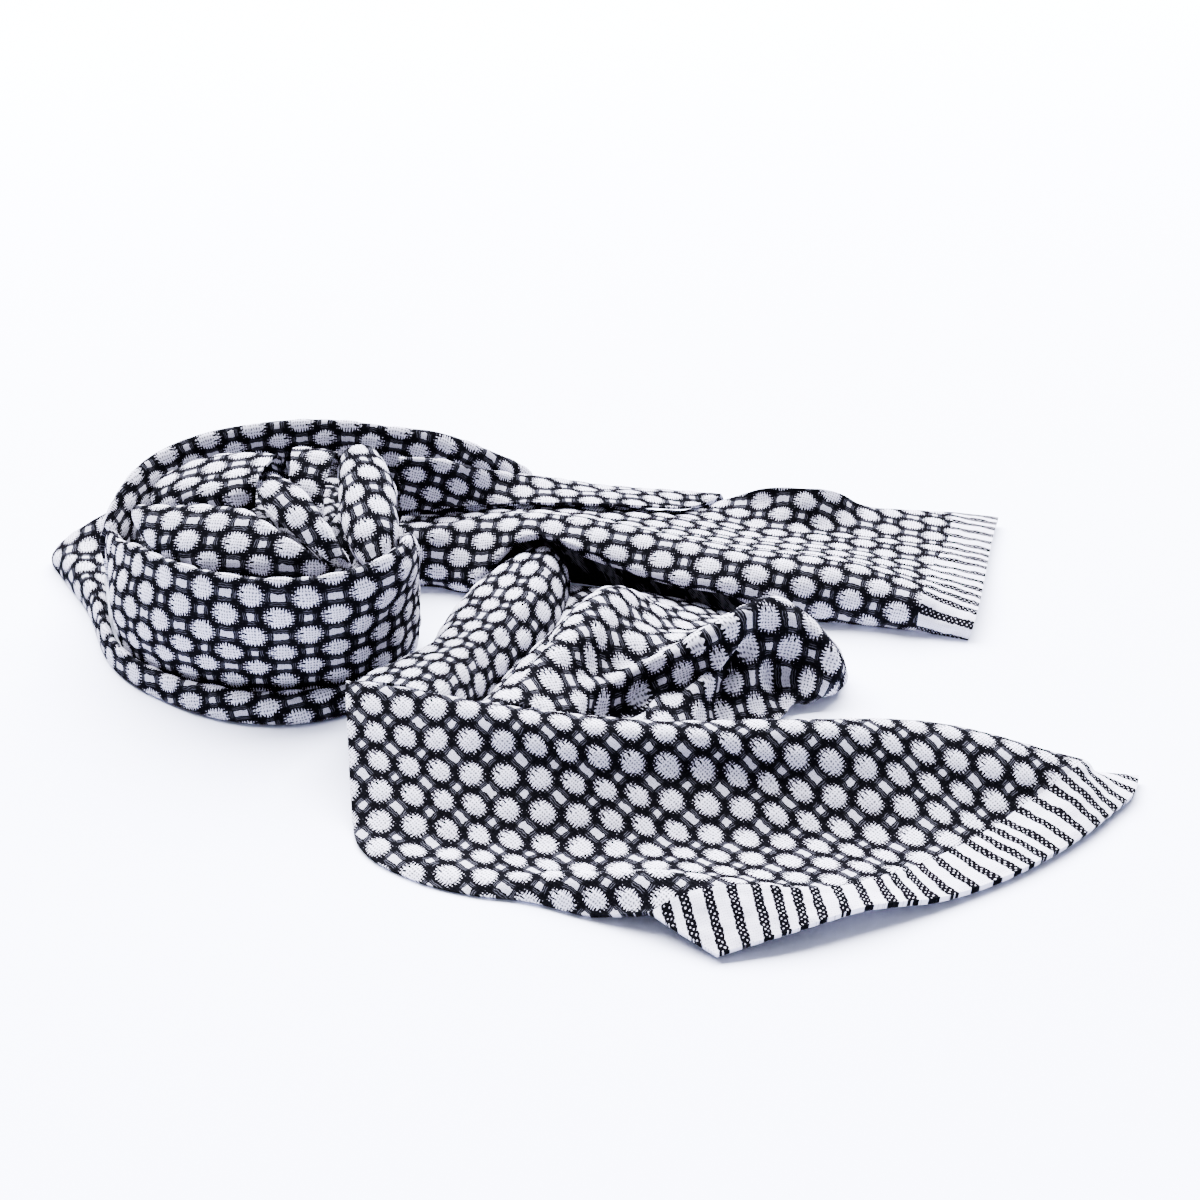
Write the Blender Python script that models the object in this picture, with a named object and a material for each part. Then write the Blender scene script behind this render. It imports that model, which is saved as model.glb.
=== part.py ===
# A woven scarf dropped on a flat surface. One end is wound into a loose coil,
# the rest runs to the right folded lengthwise, turns under itself, bunches up
# and opens out into a flat panel in front. Both ends have a striped turned hem.
#
# Every stretch that shows is a wall of cloth lofted over a few guide lines, the
# crests, creases and edges of its folds. Hidden layers are rounded cores.
# Tables are in millimetres in a layout frame: +X right, +Y away, +Z up.

import bpy
import bmesh
import numpy as np

MM = 0.001

# Driving dimensions
CLOTH = 1.8            # thickness of the cloth wall
SEAM = 0.4             # clearance between neighbouring pieces
SCARF_WIDTH = 208.0    # selvedge to selvedge, laid flat
HEM_BAND = 20.0        # depth of the turned hem
HEM_COLUMNS = 5        # points across the hem
FINE_CLOTH = 1.0       # thickness where folds are tight
CORE_CLEARANCE = 1.0   # room between a sheet and the hidden layers under it
PRESSED = 0.7          # a wall this close to the surface is pressed flat on it
LAYOUT_CENTRE = (-22.4, -61.7)   # middle of the whole layout, moved to the origin


# Curves and sheets

def through(points, knots, at):
    """Smooth interpolation of points given at knots, evaluated at other values."""
    slopes = np.gradient(points, knots, axis=0)
    low = np.clip(np.searchsorted(knots, at, side="right") - 1, 0, len(knots) - 2)
    span = knots[low + 1] - knots[low]
    shape = (-1,) + (1,) * (points.ndim - 1)
    t = ((at - knots[low]) / span).reshape(shape)
    span = span.reshape(shape)
    near, far = points[low], points[low + 1]
    leave, arrive = slopes[low] * span, slopes[low + 1] * span
    return (near * (2 * t**3 - 3 * t**2 + 1) + leave * (t**3 - 2 * t**2 + t)
            + far * (3 * t**2 - 2 * t**3) + arrive * (t**3 - t**2))


def running_length(points):
    steps = np.linalg.norm(np.diff(points, axis=0), axis=-1)
    return np.concatenate([[0.0], np.cumsum(steps)])


def spline(points, count):
    """A smooth curve through the points, at evenly spaced places."""
    points = np.array(points, float)
    knots = running_length(points)
    fine_knots = np.linspace(0.0, knots[-1], 24 * len(points))
    fine = through(points, knots, fine_knots)
    length = running_length(fine)
    at = np.interp(np.linspace(0.0, length[-1], count), length, fine_knots)
    return through(points, knots, at)


def loft(rails, along, across):
    """A grid of points, across rows by along columns, over guide lines."""
    lines = np.array([spline(rail, along) for rail in rails])
    steps = np.linalg.norm(np.diff(lines, axis=0), axis=-1).mean(axis=1)
    knots = np.concatenate([[0.0], np.cumsum(steps)])
    return through(lines, knots, np.linspace(0.0, knots[-1], across))


def normals(grid):
    n = np.cross(np.gradient(grid, axis=1), np.gradient(grid, axis=0))
    return n / np.maximum(np.linalg.norm(n, axis=-1, keepdims=True), 1e-9)


def softened(field):
    """Each vector turned a little toward its neighbours, so tight folds don't cross."""
    wide = np.pad(field, ((1, 1), (1, 1), (0, 0)), mode="edge")
    mixed = (2 * field + wide[:-2, 1:-1] + wide[2:, 1:-1] + wide[1:-1, :-2] + wide[1:-1, 2:]) / 6
    return mixed / np.maximum(np.linalg.norm(mixed, axis=-1, keepdims=True), 1e-9)


def inside(grid, depth):
    """The same grid moved in from the outer side by a depth."""
    return grid - softened(softened(normals(grid))) * depth


def pressed(grid):
    """A grid that doesn't reach below the surface and lies flat where near it."""
    flat = grid.copy()
    flat[..., 2] = np.where(flat[..., 2] < PRESSED, 0.0, flat[..., 2])
    return flat


def on_surface(grid):
    flat = grid.copy()
    flat[..., 2] = 0.0
    return flat


# Objects

# Colours: the cloth reads as a light grey from afar, the hems a little lighter
CLOTH_TONE = (0.42, 0.42, 0.44)
HEM_TONE = (0.60, 0.60, 0.62)
HIDDEN_TONE = (0.30, 0.30, 0.32)


def cloth_material(name, tone):
    material = bpy.data.materials.new(name)
    material.use_nodes = True
    shader = material.node_tree.nodes["Principled BSDF"]
    shader.inputs["Base Color"].default_value = (*tone, 1.0)
    shader.inputs["Roughness"].default_value = 0.9
    shader.inputs["Metallic"].default_value = 0.0
    return material


def finished_object(name, mesh_builder, tone):
    bmesh.ops.triangulate(mesh_builder, faces=mesh_builder.faces[:])
    mesh = bpy.data.meshes.new(name)
    mesh_builder.to_mesh(mesh)
    mesh_builder.free()
    mesh.shade_smooth()
    mesh.set_sharp_from_angle(angle=np.radians(50))
    mesh.materials.append(cloth_material(name, tone))
    piece = bpy.data.objects.new(name, mesh)
    bpy.context.scene.collection.objects.link(piece)
    return piece


def add_grid(mesh_builder, grid):
    layout = np.array([*LAYOUT_CENTRE, 0.0])
    return [[mesh_builder.verts.new((point - layout) * MM) for point in row] for row in grid]


def closed_object(name, outer, inner, tone):
    """One closed body between an outer grid and an inner grid of equal size."""
    rows, columns = outer.shape[:2]
    mesh_builder = bmesh.new()
    top, bottom = add_grid(mesh_builder, outer), add_grid(mesh_builder, inner)
    add_face = mesh_builder.faces.new
    for i in range(rows - 1):
        for j in range(columns - 1):
            add_face((top[i][j], top[i][j + 1], top[i + 1][j + 1], top[i + 1][j]))
            add_face((bottom[i][j], bottom[i + 1][j], bottom[i + 1][j + 1], bottom[i][j + 1]))
    for j in range(columns - 1):
        add_face((top[0][j + 1], top[0][j], bottom[0][j], bottom[0][j + 1]))
        add_face((top[-1][j], top[-1][j + 1], bottom[-1][j + 1], bottom[-1][j]))
    for i in range(rows - 1):
        add_face((top[i][0], top[i + 1][0], bottom[i + 1][0], bottom[i][0]))
        add_face((top[i + 1][-1], top[i][-1], bottom[i][-1], bottom[i + 1][-1]))
    return finished_object(name, mesh_builder, tone)


def round_object(name, rings, tone):
    """A closed body under a top given by rings from its rim in to its middle."""
    mesh_builder = bmesh.new()
    top = add_grid(mesh_builder, rings)
    foot = add_grid(mesh_builder, on_surface(rings[:1]))[0]
    count = len(foot)
    for j in range(count):
        k = (j + 1) % count
        mesh_builder.faces.new((foot[j], foot[k], top[0][k], top[0][j]))
        for i in range(len(top) - 1):
            mesh_builder.faces.new((top[i][j], top[i][k], top[i + 1][k], top[i + 1][j]))
    mesh_builder.faces.new(top[-1])
    mesh_builder.faces.new(foot[::-1])
    return finished_object(name, mesh_builder, tone)


def sheet(name, grid, tone, thickness=CLOTH):
    return closed_object(name, pressed(grid), pressed(inside(grid, thickness)), tone)


def hemmed_sheet(names, grid, edge, tones):
    """A sheet and the turned hem beyond its last column, with a seam between them."""
    steps = np.linspace(0.0, 1.0, HEM_COLUMNS).reshape(1, -1, 1)
    hem_line = grid[:, -1:]
    band = hem_line * (1 - steps) + spline(edge, len(grid))[:, None] * steps
    both = np.concatenate([grid, band[:, 1:]], axis=1)
    outer, inner = pressed(both), pressed(inside(both, CLOTH))
    split = grid.shape[1] - 1
    closed_object(names[0], outer[:, :split + 1], inner[:, :split + 1], tones[0])
    share = SEAM * (HEM_COLUMNS - 1) / HEM_BAND
    for layer in (outer, inner):
        layer[:, split] += (layer[:, split + 1] - layer[:, split]) * share
    closed_object(names[1], outer[:, split:], inner[:, split:], tones[1])


def core(name, grid, rows, columns, thickness=CLOTH):
    """Hidden layers: a solid from the surface up to just under part of a sheet."""
    top = inside(grid, thickness + CORE_CLEARANCE)[rows, columns]
    return closed_object(name, top, on_surface(top), HIDDEN_TONE)


# Front panel: a flat sheet with a slope up to a folded ridge at the back
# Guide lines from the front selvedge back over the ridge, each left to right: x, y, z

PANEL_LINES = {
    "selvedge": [(-71, -142, 1), (-69, -149, 1), (-52, -165, 1), (-35, -172, 1), (-20, -175, 1.2),
                 (-5, -181, 1.5), (13, -186, 6)],
    "lip": [(-71.5, -139.5, 2.6), (-66, -147, 2.4), (-50, -161, 2.4), (-33, -168, 2.6), (-18, -170, 5),
            (0, -175, 9), (26, -182, 10.5)],
    "flat": [(-72, -136, 4.6), (-62, -147, 2.5), (-40, -159, 2.3), (-15, -163, 3), (12, -166, 5.5),
             (40, -172, 7), (62, -178, 8)],
    "foot": [(-73, -130, 8), (-57, -145, 2.8), (-28, -149, 2.5), (0, -150, 3), (28, -151, 3.6),
             (65, -151, 3.6), (95, -158, 3.6)],
    "slope": [(-75, -116, 16), (-57, -126, 13), (-24, -134, 12), (10, -137, 12), (45, -137, 12),
              (85, -136, 10), (122, -137, 5)],
    "ridge": [(-77, -101, 25), (-58, -106, 25.5), (-20, -118, 25.5), (21, -124, 25), (60, -121, 24),
              (101, -115, 19), (143, -121, 9.5)],
    "behind": [(-77, -100, 25), (-58, -105, 25.4), (-20, -113.5, 23.5), (21, -119.5, 23), (60, -116.5, 22),
               (101, -110.5, 17), (145, -117, 8)],
    "back": [(-77, -99, 24.8), (-58, -104, 25), (-20, -110, 12), (21, -116, 12), (60, -113, 12),
             (101, -107, 9), (146, -115, 4)],
    "tail": [(-77, -98.5, 24.6), (-58, -103.5, 24.6), (-20, -109.5, 2.6), (21, -115.5, 2.6),
             (60, -112.5, 2.6), (101, -106.5, 2.6), (146, -114.5, 2.6)],
}

# Outer edge of the front hem from its lower left corner to the tip: x, y, z
FRONT_HEM_EDGE = [(30, -198.5, 2.6), (52, -192, 6), (69, -185, 7), (93, -176, 3.6), (124, -158, 3),
                  (151, -134, 3), (161, -121, 3), (162, -117, 2.6)]


def front_panel():
    grid = loft(PANEL_LINES.values(), 24, 16)
    hemmed_sheet(("front_panel", "front_hem"), grid, FRONT_HEM_EDGE, (CLOTH_TONE, HEM_TONE))
    core("front_panel_layers", grid, slice(8, 13), slice(2, -2, 2))


# Rear strand: folded lengthwise, its near edge a fold and its far edge the selvedges
# Guide lines of the upper layer from the near edge back, each left to right: x, y, z

STRAND_LINES = {
    "tuck": [(-74, 11, 0.4), (-60, 10, 0.4), (-47, 4, 0.6), (-37, 8, 11), (-27, 11, 18.5), (-18, 9, 19),
             (-8, 6, 15.5), (8, 0, 12), (28, -10, 10.5), (46, -14, 9), (62, -18, 2.6), (78, -17, 0.4),
             (110, -23, 0.4)],
    "near edge": [(-74, 8, 4), (-60, 7, 4), (-47, 0, 4.5), (-37, 4, 13.5), (-27, 8, 21.5), (-18, 6, 22),
                  (-8, 3, 18.5), (8, -3, 14.5), (28, -13, 13), (46, -17, 11.5), (62, -21, 5.5),
                  (78, -20, 3), (110, -26, 3)],
    "near face": [(-74, 8.5, 11), (-60, 9, 11), (-47, 5, 12), (-28, 11, 23), (-8, 4, 20.5), (8, -3, 17.5),
                  (28, -12, 16.5), (46, -17, 15), (62, -20, 10.5), (80, -20, 8), (110, -26, 6.5)],
    "crest": [(-74, 14, 20), (-60, 14, 20), (-48, 17, 21), (-29, 19, 24.5), (5, 12, 24), (33, -1, 22),
              (50, -9, 20.5), (70, -12, 18.5), (91, -14, 16), (112, -20, 12)],
    "plateau": [(-74, 24, 20), (-60, 24, 20), (-30, 28, 22), (5, 26, 20.5), (34, 19, 18), (53, 14, 16.5),
                (73, 13, 15), (95, 12, 13), (120, 6, 10)],
    "trough": [(-74, 30, 19.6), (-60, 30, 19.6), (-30, 36, 20), (5, 38, 18.2), (34, 41, 14.4), (55, 38, 12),
               (77, 37, 11.5), (100, 38, 9.5), (132, 36, 7)],
    "far slope": [(-74, 34, 17.5), (-60, 35, 17.5), (-30, 42, 18.8), (5, 46, 16.2), (34, 51, 12),
                  (56, 54, 13), (77, 45, 17), (100, 49, 11), (138, 58, 6)],
    "selvedge": [(-74, 37, 15), (-60, 38, 15), (-30, 46, 16), (5, 52, 13.2), (36, 57, 10), (50, 60, 13),
                 (66, 53, 21), (77, 50, 22), (90, 52, 20), (103, 56, 12), (120, 61, 8), (140, 65, 5)],
}

# Outer edge of the rear hem from the near corner to the far one: x, y, z
REAR_HEM_EDGE = [(128, -30, 0.4), (127.5, -33, 2.6), (129, -30, 5), (134, -16, 7), (140, 4, 6.5),
                 (147, 28, 5.2), (153, 48, 4.6), (158, 63, 3.8)]


def rear_strand():
    grid = loft(STRAND_LINES.values(), 28, 14)
    hemmed_sheet(("rear_strand", "rear_hem"), grid, REAR_HEM_EDGE, (CLOTH_TONE, HEM_TONE))
    core("rear_strand_layers", grid, slice(3, 11), slice(1, -7))


# Flap: the far selvedge of the lower layer, rolled forward over the strand
# Guide lines from its front selvedge back and down, each left to right: x, y, z

FLAP_LINES = {
    "selvedge": [(-74, 27, 23), (-60, 29, 23), (-48, 33, 22.6), (-38, 34.5, 23), (-14, 35, 22.8),
                 (15, 39, 20), (34, 48, 15.2), (46, 60.5, 13.1)],
    "shoulder": [(-74, 28.5, 34), (-60, 31, 32), (-47, 35.5, 28), (-37, 40.5, 26), (-18, 45, 24),
                 (12, 52, 19.4), (32, 58, 15.4), (47, 63, 13.6)],
    "crest": [(-74, 31, 43), (-60, 34, 41), (-47, 38.5, 36), (-37, 46, 30.5), (-22, 59, 23),
              (2, 67, 15.5), (28, 69, 12.5), (48, 65.5, 12.4)],
    "back": [(-74, 34, 40), (-60, 37.5, 37.5), (-47, 42.5, 32), (-37, 49.5, 26), (-20, 64, 17), (4, 72, 10),
             (28, 73, 8), (49, 67.5, 10)],
    "tail": [(-74, 35, 29), (-60, 39, 27), (-47, 44, 25), (-37, 51, 21), (-18, 67, 9), (5, 74, 3),
             (28, 74.5, 3), (50, 69, 5)],
}


def strand_flap():
    grid = loft(FLAP_LINES.values(), 22, 9)
    sheet("strand_flap", grid, CLOTH_TONE, FINE_CLOTH)


# Middle strand: comes out under the rear strand and turns over into the panel
# Guide lines from its left side over to its right, each from the back to the front: x, y, z

MIDDLE_LINES = {
    "left foot": [(-34, 14, 1), (-42, 2, 1), (-49, -9, 1), (-54, -24, 1), (-57, -38, 1), (-60, -54, 1),
                  (-66, -70, 1), (-72, -85, 1), (-75, -97, 1)],
    "left side": [(-31, 14, 9), (-39, 2, 10), (-46, -9, 8.5), (-51, -24, 8.5), (-54, -38, 9), (-57, -54, 11),
                  (-63, -68, 14), (-71, -83, 18), (-76.5, -98, 22)],
    "left crest": [(-26, 14, 14), (-32, 2, 15.5), (-39, -12, 14), (-44, -26, 13.5), (-48, -40, 14),
                   (-52, -54, 15.5), (-59, -68, 18.5), (-66, -83, 22), (-73, -99.4, 24.8)],
    "crease": [(-22, 14, 15), (-24, 2, 17), (-28, -10, 15.5), (-34, -26, 14.2), (-40, -38, 14),
               (-47, -52, 15), (-54, -66, 17.5), (-60, -81, 21.5), (-66.5, -100.6, 25.4)],
    "right crest": [(-18, 13, 14.5), (-18.5, 2, 16.8), (-20, -9, 16), (-23, -22, 15), (-29, -36, 14.5),
                    (-36, -50, 15), (-43, -66, 17.5), (-50, -84, 22), (-58, -103, 25.4)],
    "right side": [(-13, 12, 9), (-13, 1, 10), (-14.5, -10, 9), (-17, -23, 8), (-23, -37, 8), (-30, -51, 9),
                   (-37, -67, 12), (-43, -85, 17), (-50, -104, 22)],
    "right foot": [(-11, 13.2, 1), (-11.2, 1, 1), (-13, -11, 1), (-15.5, -24, 1), (-21.5, -37.5, 1),
                   (-28.5, -52, 1), (-35.5, -68, 2), (-41, -86.5, 6), (-47.5, -104.5, 12)],
}


def middle_strand():
    grid = loft(MIDDLE_LINES.values(), 17, 14)
    sheet("middle_strand", grid, CLOTH_TONE)
    core("middle_strand_layers", grid, slice(3, 11), slice(1, -1, 2))


# Heap: cloth bunched up between the strands and the panel
# Guide lines from the front foot over the long ridge to the back, each left to right: x, y, z

HEAP_LINES = {
    "front foot": [(-44, -102.5, 11), (-24, -105.5, 20.5), (-10, -107.5, 16), (0, -108.5, 8), (8, -109, 5),
                   (18, -109, 9), (30, -109, 5), (46, -109, 3), (56, -107, 3)],
    "front": [(-41, -95, 10), (-21, -98.5, 21), (-8, -101.5, 17), (4, -102, 8), (10, -101.5, 6.5),
              (19, -99, 10), (29, -94, 7), (40, -88, 4.5), (50, -84, 3.6), (56, -88, 3)],
    "front ridge": [(-38.5, -86, 8.5), (-17.5, -90, 22), (-5, -93, 18), (6, -94, 9.5), (14, -92, 9.5),
                    (25, -89, 12), (35, -82, 13), (43, -79, 12), (50, -78, 9), (56, -79.5, 5.5), (59, -83, 3)],
    "deep": [(-36, -77, 6), (-13.5, -81.5, 23), (-2, -86, 19), (9, -88, 12), (18, -84, 11), (28, -80, 13),
             (38, -77, 15), (47, -74.5, 16), (54, -73, 14), (60, -73, 9.5), (63.5, -75, 6), (61, -79, 3.4)],
    "under the ridge": [(-33, -66, 4.5), (-9.5, -72, 24.3), (2, -78, 20), (10, -81.5, 17), (19, -80, 17),
                        (29, -77.5, 19.5), (40, -75.5, 23), (49, -71.5, 25), (57, -68, 23.5),
                        (65, -68, 18), (70, -71, 11), (68.5, -75, 5.5), (63, -77.5, 3.4)],
    "long ridge": [(-29.5, -56, 4), (-6, -63.5, 25.5), (5, -70, 21), (15, -74, 21), (27, -75, 24.5),
                   (38, -73, 29), (46, -68.5, 31.5), (54, -63, 32), (62, -62, 28.5), (70, -65, 21.5),
                   (75, -67.5, 13.5), (73.5, -72, 6.5), (67, -76, 2.4)],
    "behind the ridge": [(-24, -45.5, 3.5), (-2, -54, 26), (9, -60, 20.5), (18, -63.5, 20), (30, -64.5, 23),
                         (40, -63.5, 27), (48, -59.5, 30), (56, -55, 30.5), (65, -55, 26.5), (74, -59, 19),
                         (79.5, -63, 11), (78.5, -68, 5.5), (72, -73.5, 3.4)],
    "valley": [(-18, -35.5, 3.5), (3, -44, 25.5), (13, -47.5, 18.5), (23, -49.5, 15), (34, -50, 15.5),
               (44, -48.5, 18), (54, -45.5, 20), (64, -45, 17.5), (74, -50, 12), (81, -59.5, 6.5),
               (80.5, -65, 4), (77, -70, 3)],
    "back slope": [(-14.6, -22, 3), (8, -31, 21.5), (18, -33, 15.5), (28, -34.5, 12), (40, -35, 11),
                   (52, -34.5, 10.5), (64, -36.5, 9), (74, -43, 6), (79.5, -52, 4.5), (82, -58, 3.6)],
    "back": [(-11.8, -8, 3), (9, -12, 9.5), (22, -15, 8.5), (34, -18, 7), (46, -23, 5), (57, -27, 4),
             (66, -33, 3.2), (73, -41, 3), (77, -49, 3)],
    "tail": [(-10.6, 6, 3), (10, 1, 3.8), (24, -4, 3.8), (36, -9, 3.4), (47, -15, 3), (56, -21, 2.6),
             (64, -29, 2.4), (71, -37, 2.4)],
}


def heap():
    grid = loft(HEAP_LINES.values(), 32, 22)
    sheet("heap", grid, CLOTH_TONE, FINE_CLOTH)
    core("heap_layers", grid, slice(12, 20), slice(2, 22, 2), FINE_CLOTH)


# Coil: turns of cloth round a hollow, given by angle round its centre

COIL_CENTRE = (-108.0, -20.0)

# Main wall, from the left round the front to the right: angle, foot, belly and top radius, height
MAIN_WALL = [
    (172.5, 64, 64.5, 64.5, 34.5),
    (185, 60, 61.5, 58, 37),
    (202, 58, 59.5, 52, 42),
    (225, 55, 57, 50, 45),
    (250, 53.5, 55.5, 51.5, 46.5),
    (275, 53.5, 56, 55.5, 47),
    (300, 55, 57.5, 59.5, 48),
    (318, 53, 55.5, 58.5, 49),
    (332, 49, 51, 53, 47.5),
    (345, 46.5, 47.5, 47.5, 43),
    (357, 42, 42.5, 42, 37),
    (370, 38, 38, 37, 32),
]


def ring_point(angle, radius, height, centre=COIL_CENTRE):
    turn = np.radians(angle)
    return (centre[0] + radius * np.cos(turn), centre[1] + radius * np.sin(turn), height)


def main_wall_lines():
    foot = [ring_point(a, r0, 0.0) for a, r0, r1, r2, h in MAIN_WALL]
    low = [ring_point(a, r0 + 1.2, 8.0) for a, r0, r1, r2, h in MAIN_WALL]
    belly = [ring_point(a, r1, 0.5 * h) for a, r0, r1, r2, h in MAIN_WALL]
    high = [ring_point(a, r2 + 0.6, h - 5) for a, r0, r1, r2, h in MAIN_WALL]
    crest = [ring_point(a, r2 - 2.2, h) for a, r0, r1, r2, h in MAIN_WALL]
    lip = [ring_point(a, r2 - 4.6, h - 2.4) for a, r0, r1, r2, h in MAIN_WALL]
    inner = [ring_point(a, r2 - 5.2, h - 8) for a, r0, r1, r2, h in MAIN_WALL]
    return [foot, low, belly, high, crest, lip, inner]


def coil_main_wall():
    sheet("coil_main_wall", loft(main_wall_lines(), 30, 11), CLOTH_TONE)


# Outer turn: the strand standing on edge behind the coil, from the right round to the left
# Top of the fold: x, y, z, how far its foot stands out, and the thickness of the fold
OUTER_TURN = [
    (-27, 65.3, 22.8, 3, 7.5),
    (-33, 63, 28, 5, 7),
    (-40, 58, 33.5, 7, 7),
    (-50, 53.5, 40, 8, 8),
    (-62, 49, 46, 8, 8),
    (-78, 45, 49.5, 6, 8),
    (-96, 45, 52, 5, 8),
    (-112, 46, 52, 5, 8),
    (-130, 44, 51, 5, 8),
    (-148, 39, 49, 5, 8),
    (-163, 27, 46, 5, 8),
    (-169, 12, 43, 3, 7),
    (-171.5, -1, 39, 1, 6),
    (-172.2, -10.5, 35, 0, 5),
]


def outer_turn_lines():
    top = np.array([row[:3] for row in OUTER_TURN], float)
    reach = np.array([row[3] for row in OUTER_TURN], float)[:, None]
    fold = np.array([row[4] for row in OUTER_TURN], float)[:, None]
    way = np.gradient(top[:, :2], axis=0)
    way /= np.linalg.norm(way, axis=1, keepdims=True)
    outward = np.column_stack([way[:, 1], -way[:, 0], np.zeros(len(top))])
    height = top[:, 2:]
    up = np.array([[0.0, 0.0, 1.0]])
    ground = top * [1, 1, 0]
    return [ground + outward * (fold * 0.5 + reach) + up,
            ground + outward * (fold * 0.5 + reach * 0.6) + up * height * 0.5,
            ground + outward * fold * 0.5 + up * (height - 5),
            top + outward * fold * 0.15 + up * 0.0,
            ground - outward * fold * 0.35 + up * (height - 2.0),
            ground - outward * fold * 0.5 + up * height * 0.76,
            ground - outward * fold * 0.35 + up * height * 0.5]


def coil_outer_turn():
    sheet("coil_outer_turn", loft(outer_turn_lines(), 26, 10), CLOTH_TONE)


# Base turn: the lowest turn, flat on the surface round the foot of the coil, with an ear at its left
# Angle, outer radius, crest radius, crest height, inner radius
BASE_TURN = [
    (137, 97, 93, 21, 85),
    (143, 101, 96, 18.5, 85),
    (147.5, 109, 101, 14.5, 85),
    (152, 113.5, 103, 9.5, 83),
    (157, 103, 94, 9.5, 79),
    (162, 92, 86, 9.5, 75.5),
    (169, 80.5, 77, 9.8, 70),
    (180, 71, 68.5, 10, 64.5),
    (190, 67, 65.2, 10, 62),
    (203, 64.5, 62.8, 9.5, 60.2),
    (220, 62.5, 60.8, 9, 57.6),
    (235, 61.5, 59.4, 9, 55.8),
    (250, 63, 60, 9, 55.3),
    (265, 65.3, 61, 8.6, 55.2),
    (280, 66.8, 62, 8.5, 55.6),
    (296, 65.5, 61.5, 8.5, 57),
    (312, 63.3, 60.5, 8, 56.5),
]


def base_turn_lines():
    outer = [ring_point(a, r, 1.0) for a, r, c, h, w in BASE_TURN]
    side = [ring_point(a, r - 0.5, 0.45 * h) for a, r, c, h, w in BASE_TURN]
    crest = [ring_point(a, c, h) for a, r, c, h, w in BASE_TURN]
    inner = [ring_point(a, 0.4 * c + 0.6 * w, h - 0.4) for a, r, c, h, w in BASE_TURN]
    end = [ring_point(a, w, h - 2.0) for a, r, c, h, w in BASE_TURN]
    return [outer, side, crest, inner, end]


def coil_base_turn():
    sheet("coil_base_turn", loft(base_turn_lines(), 26, 7), CLOTH_TONE, FINE_CLOTH)


# Inner turns on top of the coil. Guide lines of each piece, left to right: x, y, z

INNER_WRAP_LINES = {
    "foot": [(-149, -35, 36), (-142, -45, 36), (-127, -56.5, 36), (-108, -61.5, 37), (-93, -61.5, 38),
             (-86, -59, 39)],
    "low": [(-153, -37, 46), (-144, -49, 46), (-128.5, -59, 46.5), (-109, -64, 47), (-95, -65, 47),
            (-86.5, -63.5, 46)],
    "face": [(-155, -34.5, 50), (-144.5, -44, 51), (-129, -52, 53), (-112, -56.5, 54), (-98, -62, 51.5),
             (-88.5, -64, 48.5)],
    "top": [(-154, -31.5, 52.5), (-142.5, -38, 55), (-127, -43, 57.5), (-115, -47, 58), (-103, -55.5, 55),
            (-92.5, -61, 50)],
    "back": [(-151, -28, 50), (-140, -34.5, 52), (-126, -39, 54), (-115, -44, 53.5), (-105, -51, 50),
             (-95, -57, 45.5)],
}

TOP_FOLD_LINES = {
    "foot": [(-149, -29, 46), (-139, -31, 47), (-126, -35, 49), (-119, -35, 51), (-114, -33, 52)],
    "low": [(-150, -27, 52), (-140, -30.5, 55), (-127, -36, 57.5), (-119, -35, 59.5), (-113, -31, 61)],
    "middle": [(-150, -20, 55), (-140, -21, 58.5), (-128, -23, 61), (-118, -22, 62.5), (-111, -20, 63)],
    "crest": [(-148, -11, 55), (-139, -10, 59), (-127, -10, 61.5), (-117, -11, 62.5), (-109, -13, 62.5)],
    "back": [(-146, -4, 50), (-138, -2, 54), (-126, -1, 56), (-116, -3, 57), (-108, -7, 57)],
    "tail": [(-145, -1, 40), (-137, 2, 44), (-126, 3, 44), (-115, 1, 44), (-108, -3, 44)],
}

RIDGE_ROLL_LINES = {
    "foot": [(-111.5, -40, 59.5), (-108, -46.5, 57.5), (-100, -54.5, 55), (-92, -60.5, 51), (-86, -63, 47.5)],
    "left face": [(-110, -37, 62.5), (-104.5, -43.5, 62), (-96.5, -52, 58.5), (-88.5, -59.5, 53),
                  (-83.5, -62.5, 48.5)],
    "crest": [(-108, -33, 64), (-101, -40, 63.5), (-93, -50, 60), (-85, -59, 53.5), (-80.5, -62, 48)],
    "right side": [(-105.5, -30, 62), (-98, -37.5, 61.5), (-90, -48, 57.5), (-83.5, -57, 51.5),
                   (-79.5, -60, 45.5)],
    "low": [(-105, -29, 55), (-97.5, -36, 53), (-90.5, -46, 49), (-84.5, -55, 45.5), (-80.5, -57.5, 41)],
}

INNER_RIM_LINES = {
    "foot": [(-104.5, -22, 44), (-98, -27, 40), (-93, -32, 36)],
    "face": [(-105, -18, 55), (-98.5, -22, 53), (-93, -26, 48)],
    "high": [(-105.5, -10, 60), (-98.5, -13, 59), (-92.5, -16, 56)],
    "top": [(-106, -1, 60.5), (-98, -3, 61), (-90, -6, 61)],
    "back": [(-105, 3, 55), (-97, 3, 55), (-89.4, 0, 54)],
}

RIGHT_FOLD_LINES = {
    "hole side": [(-89, -2, 38), (-85, -20, 36), (-81, -38, 36), (-77, -50, 37), (-74.5, -55, 38)],
    "hole edge": [(-89.5, -4, 58.5), (-86.5, -22, 57), (-83, -40, 53), (-77.5, -54, 49), (-74, -59, 45.5)],
    "crest": [(-84, -4, 62.5), (-79, -23, 61), (-74, -41, 56.5), (-70.5, -53, 51.5), (-69.5, -57.5, 46.5)],
    "outer side": [(-78, 1, 59), (-71.5, -18, 57.5), (-68.5, -35, 54), (-67, -46, 51.3), (-68, -53.5, 45.5)],
    "outer low": [(-77, 3, 38), (-72, -14, 36), (-69.5, -27, 37), (-68.5, -38, 38.5), (-69.5, -48, 38)],
}


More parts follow.
